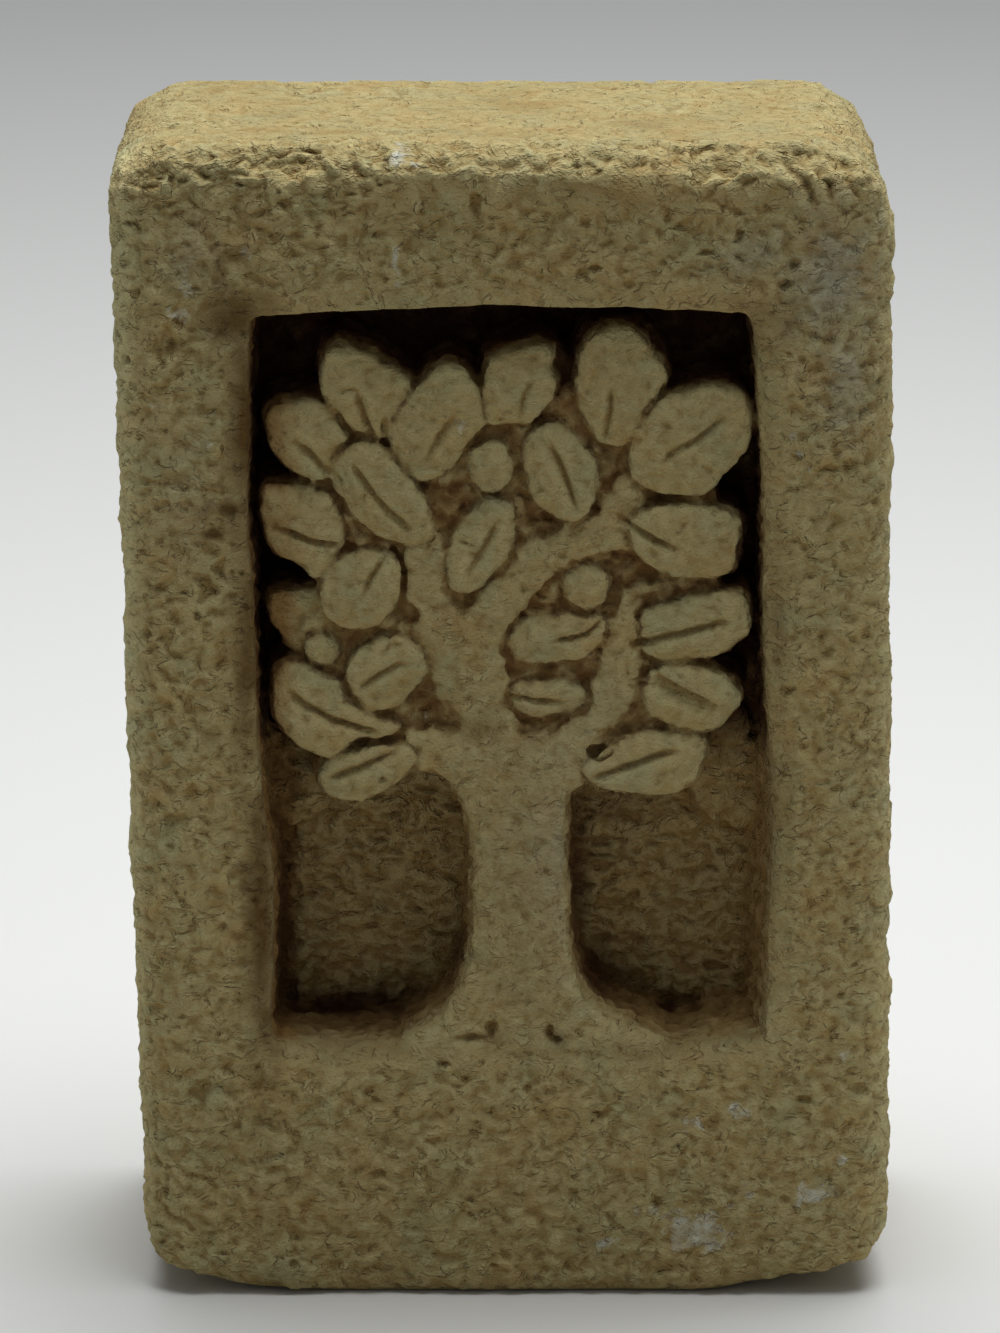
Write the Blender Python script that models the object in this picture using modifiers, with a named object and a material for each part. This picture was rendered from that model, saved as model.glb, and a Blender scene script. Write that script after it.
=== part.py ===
"""Tree of life plaque, hand carved from one block of soft yellow limestone.

The block stands on its foot. A deep recess is cut into its front, and in it a
tree stands in relief: a trunk that spreads at its root, four boughs, and leaves
and buds that nearly fill the head of the recess. Two openings are left beside
the trunk. Metres, +Z up, the front faces -Y, the origin is under the block.
"""

import math
from collections import namedtuple

import bmesh
import bpy
from mathutils import Vector

# The block
BLOCK_WIDTH = 0.100
BLOCK_DEPTH = 0.052
BLOCK_HEIGHT = 0.153
LEFT_LEAN = 0.0028
RIGHT_LEAN = 0.0018
LEFT_CORNER_ROUND = 0.0082
RIGHT_CORNER_ROUND = 0.0105
FRONT_ARRIS_ROUND = 0.0055
BACK_ARRIS_ROUND = 0.0040
FOOT_ARRIS_ROUND = 0.0026
ROUND_STEPS = 5

# The recess, as it shows in the front face
RECESS_WIDTH = 0.0640
RECESS_TAPER = 0.0030
RECESS_HEIGHT = 0.0980
RECESS_DEPTH = 0.0160
RECESS_SHIFT = 0.0002
SILL_HEIGHT = 0.0345
HEAD_DROP = 0.0014
WALL_DRAFT = 0.0007
RECESS_CORNER = 0.0030
LEFT_JAMB_ROUND = 0.0008
RIGHT_JAMB_ROUND = 0.0055
HEAD_ROUND = 0.0006
SILL_ROUND = 0.0028

# The carving: how far each face lies behind the front, and how it rounds off
ROOT_SET_BACK = 0.0004
BOUGH_SET_BACK = 0.0028
LEAF_SET_BACK = 0.0024
CROWN_SET_BACK = 0.0058
LEAF_ROLL = 0.0013
BOUGH_ROLL = 0.0009
SIDE_FLARE = 0.0006
FORK_HEIGHT = 0.0490
VEIN_WIDTH = 0.0016
VEIN_DEPTH = 0.0011
VEIN_END_SHARE = 0.45
CHIP_RADIUS = 0.0260
CHIP_DEPTH = 0.0014

# How finely curved forms are cut, how they close, and how far they run past each other
LEAF_STATIONS = 7
FACE_STEPS = 3
EDGE_STEPS = (0.03, 0.12, 0.28, 0.55, 1.0)
CHIP_SUBDIVISIONS = 3
ROLL_POWER = 4.0
END_SHARE = 0.975
OVERLAP = 0.0010
FACE_CLEARANCE = 0.0010

FRONT = -BLOCK_DEPTH / 2
BACK_WALL = FRONT + RECESS_DEPTH
WIDEST_ROUND = max(LEFT_CORNER_ROUND, RIGHT_CORNER_ROUND, FRONT_ARRIS_ROUND,
                   BACK_ARRIS_ROUND, FOOT_ARRIS_ROUND)
DEEPEST_EDGE = max(LEFT_JAMB_ROUND, RIGHT_JAMB_ROUND, HEAD_ROUND, SILL_ROUND)

# Places in the tree are shares of the recess: across from its middle, up from its
# sill. Widths are shares of the recess's height. sides are the leaf's half widths,
# widest is where along it they are reached, ends say how blunt its foot and tip are.
Leaf = namedtuple("Leaf", "foot tip sides widest ends sink vein fold",
                  defaults=(0.50, (2.0, 2.4), 0.0, (), ()))
Bough = namedtuple("Bough", "name stations")

LEAVES = (
    Leaf((-0.247, 0.805), (-0.338, 0.952), (0.048, 0.060), 0.46, (2.5, 1.4),
         vein=((-0.288, 0.882), (-0.273, 0.852), (-0.255, 0.816))),
    Leaf((-0.343, 0.765), (-0.472, 0.861), (0.045, 0.061), 0.55, (2.2, 2.0),
         vein=((-0.413, 0.813), (-0.377, 0.796), (-0.355, 0.768))),
    Leaf((-0.184, 0.758), (-0.103, 0.922), (0.051, 0.063), 0.50, (2.0, 2.2),
         vein=((-0.096, 0.865), (-0.134, 0.825), (-0.166, 0.784))),
    Leaf((-0.004, 0.822), (0.055, 0.945), (0.050, 0.042), 0.60, (2.2, 3.2),
         vein=((0.050, 0.901), (0.026, 0.869))),
    Leaf((0.209, 0.789), (0.228, 0.970), (0.058, 0.066), 0.55, (1.4, 2.2),
         vein=((0.209, 0.892), (0.209, 0.848), (0.189, 0.809))),
    Leaf((0.249, 0.752), (0.479, 0.876), (0.072, 0.057), 0.44, (2.8, 3.0),
         vein=((0.428, 0.838), (0.364, 0.813), (0.305, 0.784))),
    Leaf((0.136, 0.702), (0.079, 0.840), (0.051, 0.051), 0.50, (2.0, 2.0),
         vein=((0.098, 0.812), (0.116, 0.772), (0.142, 0.726))),
    Leaf((-0.158, 0.678), (-0.323, 0.808), (0.055, 0.039), 0.65, (2.0, 2.6),
         vein=((-0.307, 0.774), (-0.262, 0.745), (-0.180, 0.688))),
    Leaf((-0.310, 0.668), (-0.490, 0.718), (0.047, 0.062), 0.55, (2.5, 3.5),
         vein=((-0.446, 0.698), (-0.398, 0.684), (-0.324, 0.675))),
    Leaf((-0.230, 0.668), (-0.329, 0.560), (0.041, 0.062), 0.50, (2.5, 2.4),
         vein=((-0.238, 0.667), (-0.264, 0.640), (-0.291, 0.610)),
         fold=((-0.234, 0.667), (-0.210, 0.649), (-0.211, 0.598))),
    Leaf((-0.175, 0.539), (-0.312, 0.461), (0.045, 0.050), 0.50, (2.2, 2.5),
         vein=((-0.211, 0.517), (-0.288, 0.486))),
    Leaf((-0.212, 0.416), (-0.473, 0.481), (0.058, 0.042), 0.65, (2.0, 2.6),
         vein=((-0.441, 0.479), (-0.381, 0.445), (-0.324, 0.432), (-0.244, 0.420))),
    Leaf((-0.165, 0.397), (-0.384, 0.352), (0.046, 0.032), 0.50, (2.0, 2.6),
         vein=((-0.224, 0.398), (-0.293, 0.376), (-0.353, 0.363)),
         fold=((-0.232, 0.412), (-0.292, 0.409), (-0.327, 0.397))),
    Leaf((0.242, 0.709), (0.470, 0.668), (0.042, 0.046), 0.65, (1.8, 3.2),
         vein=((0.230, 0.705), (0.276, 0.688), (0.322, 0.675))),
    Leaf((0.251, 0.547), (0.488, 0.585), (0.041, 0.044), 0.45, (2.6, 3.4),
         vein=((0.267, 0.541), (0.323, 0.555), (0.391, 0.564))),
    Leaf((0.268, 0.495), (0.473, 0.461), (0.033, 0.054), 0.50, (2.3, 2.2),
         vein=((0.288, 0.503), (0.340, 0.481), (0.401, 0.462))),
    Leaf((0.143, 0.369), (0.402, 0.393), (0.043, 0.049), 0.60, (1.7, 2.8),
         vein=((0.188, 0.358), (0.240, 0.375), (0.309, 0.391))),
    Leaf((0.199, 0.566), (-0.004, 0.533), (0.034, 0.034), 0.55, (2.0, 2.3), 0.0008,
         vein=((0.195, 0.579), (0.167, 0.558), (0.090, 0.547))),
    Leaf((0.171, 0.468), (-0.004, 0.465), (0.026, 0.026), 0.50, (2.5, 2.5), 0.0012,
         vein=((0.107, 0.460), (-0.002, 0.468))),
    Leaf((-0.098, 0.604), (-0.004, 0.738), (0.045, 0.032), 0.55, (1.8, 2.4), 0.0004,
         vein=((-0.050, 0.628), (-0.030, 0.664), (-0.002, 0.718))),
)

# Three round buds, and the stub of a leaf that has broken away
BUDS = (
    Leaf((-0.038, 0.746), (-0.038, 0.821), (0.036, 0.036), ends=(2.0, 2.0)),
    Leaf((-0.372, 0.503), (-0.371, 0.555), (0.026, 0.026), ends=(2.0, 2.0), sink=0.0010),
    Leaf((0.156, 0.585), (0.156, 0.649), (0.034, 0.034), ends=(2.0, 2.0), sink=0.0006),
    Leaf((-0.379, 0.577), (-0.474, 0.560), (0.046, 0.018), 0.60, (2.5, 2.5), sink=0.0034),
)

# Each station of the trunk and the boughs: across, up and full width
BOUGHS = (
    Bough("trunk", ((0.036, -0.030, 0.246), (0.032, 0.026, 0.202), (0.028, 0.055, 0.166),
                    (0.026, 0.090, 0.139), (0.025, 0.130, 0.124), (0.022, 0.193, 0.116),
                    (0.020, 0.262, 0.118),
                    (0.014, 0.303, 0.128), (0.006, 0.335, 0.142), (-0.004, 0.363, 0.163),
                    (-0.020, 0.390, 0.155), (-0.054, 0.427, 0.111), (-0.074, 0.468, 0.087),
                    (-0.090, 0.511, 0.087), (-0.100, 0.549, 0.084))),
    Bough("left_bough", ((-0.091, 0.481, 0.079), (-0.115, 0.529, 0.071), (-0.143, 0.566, 0.058),
                         (-0.166, 0.604, 0.055), (-0.172, 0.651, 0.055), (-0.166, 0.691, 0.058))),
    Bough("right_bough", ((-0.090, 0.520, 0.074), (-0.046, 0.570, 0.058), (0.010, 0.624, 0.058),
                          (0.082, 0.668, 0.061), (0.162, 0.703, 0.071), (0.230, 0.727, 0.082),
                          (0.281, 0.752, 0.071))),
    Bough("right_twig", ((0.026, 0.365, 0.074), (0.117, 0.390, 0.058), (0.171, 0.423, 0.047),
                         (0.203, 0.468, 0.061), (0.221, 0.515, 0.061), (0.229, 0.556, 0.042),
                         (0.237, 0.597, 0.032), (0.242, 0.624, 0.018))),
    Bough("left_twig", ((-0.054, 0.379, 0.068), (-0.123, 0.400, 0.045), (-0.206, 0.402, 0.037))),
)

# The stone left standing behind the leaves
CROWN = Leaf((0.010, 0.375), (0.015, 0.850), (0.220, 0.220), ends=(2.2, 2.2),
             sink=CROWN_SET_BACK - LEAF_SET_BACK)

# Hollows knocked out of the top front arris, as shares of the block's half width
CHIPS = (-0.56, 0.52, 0.86)


def clear_scene():
    """Removes whatever the scene holds."""
    for item in list(bpy.data.objects):
        bpy.data.objects.remove(item, do_unlink=True)


def add_collection(name):
    """Adds a collection to the scene."""
    collection = bpy.data.collections.new(name)
    bpy.context.scene.collection.children.link(collection)
    return collection


def add_object(name, body, collection):
    """Turns a bmesh into an object of a collection."""
    bmesh.ops.recalc_face_normals(body, faces=body.faces)
    mesh = bpy.data.meshes.new(name)
    body.to_mesh(mesh)
    body.free()
    item = bpy.data.objects.new(name, mesh)
    collection.objects.link(item)
    return item


def hide_tool(item):
    """Marks an object as one that only cuts or joins."""
    item.hide_render = True
    item.display_type = "WIRE"


def limestone():
    """Makes the soft yellow limestone: pale ochre, dry and dull."""
    material = bpy.data.materials.new("soft_limestone")
    material.use_nodes = True
    shader = material.node_tree.nodes["Principled BSDF"]
    shader.inputs["Base Color"].default_value = (0.53, 0.45, 0.27, 1.0)
    shader.inputs["Roughness"].default_value = 0.92
    shader.inputs["Metallic"].default_value = 0.0
    return material


def place(across, up):
    """Returns x and z in metres of a place in the recess."""
    return Vector((RECESS_SHIFT + across * RECESS_WIDTH, SILL_HEIGHT + up * RECESS_HEIGHT))


def loft(rings):
    """Joins rings of equally many points into one closed body."""
    body = bmesh.new()
    loops = [[body.verts.new(point) for point in ring] for ring in rings]
    for near, far in zip(loops, loops[1:]):
        for index in range(len(near)):
            after = (index + 1) % len(near)
            body.faces.new((near[index], near[after], far[after], far[index]))
    body.faces.new(loops[0])
    body.faces.new(loops[-1])
    return body


def fall(share):
    """Returns what is left of a rounded face's height at a share of its half width."""
    return max(0.0, 1.0 - abs(share) ** ROLL_POWER) ** (1.0 / ROLL_POWER)


def relief_ring(middle, side, half_left, half_right, face, roll, height_share=1.0):
    """Returns one cross-section of a form in relief, from its left foot to its right foot."""
    ring = []
    foot_left = middle + side * (half_left + SIDE_FLARE)
    ring.append((foot_left.x, BACK_WALL + OVERLAP, foot_left.y))
    for step in range(-FACE_STEPS, FACE_STEPS + 1):
        share = math.sin(step / FACE_STEPS * math.pi / 2)
        half = half_left if share < 0 else half_right
        point = middle - side * (share * half)
        depth = face + roll * (1.0 - fall(share) * height_share)
        ring.append((point.x, depth, point.y))
    foot_right = middle - side * (half_right + SIDE_FLARE)
    ring.append((foot_right.x, BACK_WALL + OVERLAP, foot_right.y))
    return ring


def leaf_form(leaf, roll):
    """Lofts a leaf or a bud along its axis, with its rounded face and upright sides."""
    foot = place(*leaf.foot)
    tip = place(*leaf.tip)
    along = (tip - foot).normalized()
    side = Vector((-along.y, along.x))
    face = FRONT + LEAF_SET_BACK + leaf.sink
    rings = []
    for station in range(LEAF_STATIONS + 1):
        share = (1.0 - END_SHARE * math.cos(math.pi * station / LEAF_STATIONS)) / 2
        if share < leaf.widest:
            blunt, off = leaf.ends[0], 1.0 - share / leaf.widest
        else:
            blunt, off = leaf.ends[1], (share - leaf.widest) / (1.0 - leaf.widest)
        breadth = (1.0 - off ** blunt) ** (1.0 / blunt) * RECESS_HEIGHT
        rings.append(relief_ring(foot.lerp(tip, share), side, leaf.sides[0] * breadth,
                                 leaf.sides[1] * breadth, face, roll, fall(2 * share - 1)))
    return loft(rings)


def bough_form(bough):
    """Lofts the trunk or a bough through its stations."""
    points = [place(across, up) for across, up, _ in bough.stations]
    rings = []
    for index, (_, _, width) in enumerate(bough.stations):
        before = points[max(index - 1, 0)]
        after = points[min(index + 1, len(points) - 1)]
        along = (after - before).normalized()
        side = Vector((-along.y, along.x))
        rise = min(max((points[index].y - SILL_HEIGHT) / FORK_HEIGHT, 0.0), 1.0)
        face = FRONT + ROOT_SET_BACK + rise * (BOUGH_SET_BACK - ROOT_SET_BACK)
        half = width * RECESS_HEIGHT / 2
        rings.append(relief_ring(points[index], side, half, half, face, BOUGH_ROLL))
    return loft(rings)


def groove_cutter(route, face):
    """Makes a V cutter along a route, fading out at both ends."""
    points = [place(*step) for step in route]
    if len(points) == 2:
        points.insert(1, points[0].lerp(points[1], 0.5))
    rings = []
    for index, point in enumerate(points):
        before = points[max(index - 1, 0)]
        after = points[min(index + 1, len(points) - 1)]
        along = (after - before).normalized()
        side = Vector((-along.y, along.x))
        fade = VEIN_END_SHARE if index in (0, len(points) - 1) else 1.0
        half = fade * VEIN_WIDTH / 2 * (VEIN_DEPTH + FACE_CLEARANCE) / VEIN_DEPTH
        left = point + side * half
        right = point - side * half
        rings.append(((left.x, face - FACE_CLEARANCE, left.y),
                      (right.x, face - FACE_CLEARANCE, right.y),
                      (point.x, face + fade * VEIN_DEPTH, point.y)))
    return loft(rings)


def chip_cutter(share):
    """Makes the ball that scoops a hollow out of the top front arris."""
    body = bmesh.new()
    bmesh.ops.create_icosphere(body, subdivisions=CHIP_SUBDIVISIONS, radius=CHIP_RADIUS)
    arris = FRONT_ARRIS_ROUND * (1.0 - math.sqrt(0.5))
    out = (CHIP_RADIUS - CHIP_DEPTH) * math.sqrt(0.5)
    bmesh.ops.translate(body, vec=(share * BLOCK_WIDTH / 2, FRONT + arris - out,
                                   BLOCK_HEIGHT - arris + out), verts=body.verts)
    return body


def block_form():
    """Makes the leaning block, with each edge's rounding stored as its bevel weight."""
    body = bmesh.new()
    bmesh.ops.create_cube(body, size=1.0)
    half = BLOCK_WIDTH / 2
    for vert in body.verts:
        high = vert.co.z > 0
        if vert.co.x < 0:
            vert.co.x = -half if high else -half + LEFT_LEAN
        else:
            vert.co.x = half - RIGHT_LEAN if high else half
        vert.co.y *= BLOCK_DEPTH
        vert.co.z = BLOCK_HEIGHT if high else 0.0
    weight = body.edges.layers.float.new("bevel_weight_edge")
    for edge in body.edges:
        middle = (edge.verts[0].co + edge.verts[1].co) / 2
        if abs(middle.y) < BLOCK_DEPTH / 4:
            rounding = LEFT_CORNER_ROUND if middle.x < 0 else RIGHT_CORNER_ROUND
        elif middle.z < BLOCK_HEIGHT / 4:
            rounding = FOOT_ARRIS_ROUND
        else:
            rounding = FRONT_ARRIS_ROUND if middle.y < 0 else BACK_ARRIS_ROUND
        edge[weight] = rounding / WIDEST_ROUND
    return body


def jamb_growth(rounding, depth):
    """Returns how much wider the recess is at a depth, where its edge is rounded over."""
    if depth >= rounding:
        return 0.0
    return rounding - math.sqrt(rounding ** 2 - (rounding - depth) ** 2)


def recess_ring(depth, rounded_depth):
    """Returns the recess's outline at a depth behind the front, with round corners."""
    draft = WALL_DRAFT * max(depth, 0.0) / RECESS_DEPTH
    left = -RECESS_WIDTH / 2 - jamb_growth(LEFT_JAMB_ROUND, rounded_depth) + draft
    right = RECESS_WIDTH / 2 + jamb_growth(RIGHT_JAMB_ROUND, rounded_depth) - draft
    low = SILL_HEIGHT - jamb_growth(SILL_ROUND, rounded_depth) + draft
    high = SILL_HEIGHT + RECESS_HEIGHT + jamb_growth(HEAD_ROUND, rounded_depth) - draft
    inset = RECESS_TAPER / 2
    corners = (((left + inset, low), 180), ((right - inset, low), 270),
               ((right, high), 0), ((left, high - HEAD_DROP), 90))
    ring = []
    for (x, z), start in corners:
        inward = (RECESS_CORNER if start in (180, 90) else -RECESS_CORNER,
                  RECESS_CORNER if start in (180, 270) else -RECESS_CORNER)
        for step in range(ROUND_STEPS + 1):
            angle = math.radians(start + 90 * step / ROUND_STEPS)
            ring.append((RECESS_SHIFT + x + inward[0] + RECESS_CORNER * math.cos(angle),
                         FRONT + depth,
                         z + inward[1] + RECESS_CORNER * math.sin(angle)))
    return ring


def recess_cutter():
    """Lofts the body that hollows the recess, from before the front to the back wall."""
    depths = [DEEPEST_EDGE * share for share in EDGE_STEPS]
    rings = [recess_ring(-FACE_CLEARANCE, depths[0])]
    rings += [recess_ring(depth, depth) for depth in depths]
    rings.append(recess_ring(RECESS_DEPTH, RECESS_DEPTH))
    return loft(rings)


def add_boolean(item, name, operation, collection):
    """Cuts a collection's bodies from an object, or joins them to it."""
    change = item.modifiers.new(name, "BOOLEAN")
    change.operation = operation
    change.operand_type = "COLLECTION"
    change.collection = collection
    change.solver = "EXACT"
    change.use_self = True


def main():
    """Builds the plaque from its block, its recess, its tree and the marks cut last."""
    clear_scene()
    plaque_collection = add_collection("tree_of_life_plaque")
    hollows = add_collection("cutters_recess")
    tree = add_collection("forms_tree")
    marks = add_collection("cutters_marks")

    tools = [add_object("recess_cutter", recess_cutter(), hollows)]
    tools.append(add_object("crown_mass", leaf_form(CROWN, RECESS_DEPTH - CROWN_SET_BACK), tree))
    for bough in BOUGHS:
        tools.append(add_object(bough.name, bough_form(bough), tree))
    for number, leaf in enumerate(LEAVES + BUDS, start=1):
        tools.append(add_object(f"leaf_{number:02d}", leaf_form(leaf, LEAF_ROLL), tree))
        face = FRONT + LEAF_SET_BACK + leaf.sink
        for kind, route in (("vein", leaf.vein), ("fold", leaf.fold)):
            if route:
                tools.append(add_object(f"{kind}_{number:02d}", groove_cutter(route, face), marks))
    for number, share in enumerate(CHIPS, start=1):
        tools.append(add_object(f"chip_{number}", chip_cutter(share), marks))
    for item in tools:
        hide_tool(item)

    plaque = add_object("plaque", block_form(), plaque_collection)
    plaque.data.materials.append(limestone())
    rounding = plaque.modifiers.new("worn_edges", "BEVEL")
    rounding.limit_method = "WEIGHT"
    rounding.width = WIDEST_ROUND
    rounding.segments = ROUND_STEPS
    add_boolean(plaque, "hollow_recess", "DIFFERENCE", hollows)
    add_boolean(plaque, "tree_in_relief", "UNION", tree)
    add_boolean(plaque, "veins_and_chips", "DIFFERENCE", marks)


main()
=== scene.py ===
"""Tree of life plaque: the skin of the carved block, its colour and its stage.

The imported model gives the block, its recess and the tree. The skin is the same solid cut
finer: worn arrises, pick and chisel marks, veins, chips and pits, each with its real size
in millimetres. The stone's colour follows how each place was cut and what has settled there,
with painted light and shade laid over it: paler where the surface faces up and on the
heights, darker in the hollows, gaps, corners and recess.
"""

import math

import bmesh
import bpy
import numpy as np
from mathutils import Matrix, Vector


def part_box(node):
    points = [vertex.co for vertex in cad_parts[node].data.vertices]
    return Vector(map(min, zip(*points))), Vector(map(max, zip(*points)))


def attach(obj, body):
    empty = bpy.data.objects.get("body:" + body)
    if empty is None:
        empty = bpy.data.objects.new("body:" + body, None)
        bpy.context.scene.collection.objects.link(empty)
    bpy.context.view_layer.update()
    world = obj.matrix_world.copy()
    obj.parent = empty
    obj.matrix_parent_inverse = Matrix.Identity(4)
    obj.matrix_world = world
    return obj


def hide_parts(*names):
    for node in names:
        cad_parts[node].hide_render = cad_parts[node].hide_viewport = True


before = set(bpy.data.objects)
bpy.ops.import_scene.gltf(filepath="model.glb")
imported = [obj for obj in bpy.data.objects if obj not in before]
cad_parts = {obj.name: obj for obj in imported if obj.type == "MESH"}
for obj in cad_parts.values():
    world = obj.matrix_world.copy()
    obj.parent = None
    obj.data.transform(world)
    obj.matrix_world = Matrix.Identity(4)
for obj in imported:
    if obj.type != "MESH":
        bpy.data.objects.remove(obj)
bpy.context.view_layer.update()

bl_info = {
    "name": "Tree of Life Plaque",
    "version": (1, 0, 0),
    "blender": (4, 5, 0),
    "location": "3D View > Sidebar > Plaque",
    "description": "Cuts the skin of a carved limestone plaque and sets its stage",
    "category": "Object",
}

# The imported node, and the piece that stands for it
NODE = "plaque"
PIECE = "carved_plaque"

# Millimetres in a metre: the carving is worked out in millimetres, and the mesh is in metres
MM = 1000.0

# The floor, the lights and the camera, in metres, degrees and, for the lens, millimetres
FLOOR_RADIUS = 4.0
OVERHEAD = (0.06, 0.05, 0.70)
OVERHEAD_SIZE = 0.5
BEHIND = (0.06, 0.55, 1.10)
BEHIND_SIZE = 1.0
LIGHT_AIM = (0.0, 0.10, 0.0)
CAMERA_PITCH = 15.0
CAMERA_DISTANCE = 0.870
CAMERA_LENS = 177.6
SENSOR_WIDTH = 36.0
CAMERA_AIM = (-0.0009, 0.0, 0.07865)

# The block in millimetres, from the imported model
LOW = np.array(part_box(NODE)[0]) * MM
HIGH = np.array(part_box(NODE)[1]) * MM
FRONT = LOW[1]
TOP = HIGH[2]

# How far the skin may stand past the block at the sides and at the front and back, and how far its
# foot stays above the floor, in millimetres
PAST_SIDE = 0.6
PAST_FACE = 0.4
FOOT_CLEARANCE = 0.02

# The recess in millimetres: its sill, its head and its back wall
RECESS_SILL = 34.5
RECESS_HEAD = 132.5
RECESS_DEPTH = 16.0
BACK_WALL = FRONT + RECESS_DEPTH

# How its edges round over, how steep its walls are, and how they curve into its back wall
HARD_EDGE = 0.35
LEFT_EDGE = 0.45
RIGHT_EDGE = 5.0
SILL_EDGE = 2.6
WALL_SLOPE = 22.0
WORN_SLOPE = 5.0
INNER_CURVE = 0.8
RIGHT_COVE = 7.0

# How far its back wall wanders, and how much deeper it is cut along its foot and its head
BACK_WANDER = 0.45
FOOT_CUT = 1.3
HEAD_CUT = 1.0

# The carving in millimetres: how far it lies behind the front, how high over the sill the boughs
# reach that depth, and the height of the crown's foot
LEAF_SET_BACK = 2.4
BOUGH_SET_BACK = 2.8
ROOT_SET_BACK = 0.4
FORK_HEIGHT = 49.0
CROWN_FOOT = 70.0
LEAF_FACE = FRONT + LEAF_SET_BACK

# How each leaf's face leans and swells: slope, turn of the slope from leaf to leaf, and heights
LEAF_LEAN = 0.08
LEAN_TURN = 2.4
LEAN_LIMIT = 0.5
LEAF_DOME = 0.55
DOME_SPREAD = 1.7
LEAF_LIFT = 0.3
LEAF_GROOVE = 0.8

# How rough the stone is that is left standing behind the leaves
STANDING_ROUGHNESS = 0.8

# How the edges of raised parts fall off: roll and its spread in millimetres, and slope beside it
STANDING_EDGE = (0.6, 1.0, 2.2)
BOUGH_EDGE = (0.7, 0.8, 2.6)
LEAF_EDGE = (0.45, 0.45, 5.0)

# The middle of the front that is cut in relief: left, right, low, high, its grid, and the
# overlap where it joins the rest. An outline is felt no farther off than OUTLINE_REACH
MIDDLE = (-36.0, 37.4, 30.0, 136.0)
GRID = 0.2
MIDDLE_BACK = BACK_WALL + 5.0
OVERLAP = 0.1
OUTLINE_REACH = 9.0

# The wear at the foot's front corners and on the top arris, in millimetres
FOOT_HEIGHT = 9.0
RIGHT_FOOT_LIFT = 2.7
LEFT_FOOT_LIFT = 2.4
MIDDLE_FOOT_LIFT = 0.4
ARRIS_FORWARD = 1.2
ARRIS_UP = 0.5
CORNER_OUT = 0.9
SIDE_STANDS = 0.35
ARRIS_STANDS = 0.2

# How finely the tone follows the skin: rounds of averaging, and the height in millimetres that counts. The
# tone paints shade in hollows and light on heights
LEVEL_ROUNDS = 10
TONE_HEIGHT = 0.34

# How the triangles are thinned out: steps of care, and how strongly the steps count
CARE_STEPS = 4
FRONT_CARE = 0.01

# What the stone's colour is multiplied by, where its tone is darkest and where it is palest: the tone is
# painted light and shade, so the darkest is a warm painted shade and the palest a painted light
DARK_TINT = (0.66, 0.58, 0.43, 1.0)
PALE_TINT = (1.21, 1.34, 1.53, 1.0)

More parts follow.
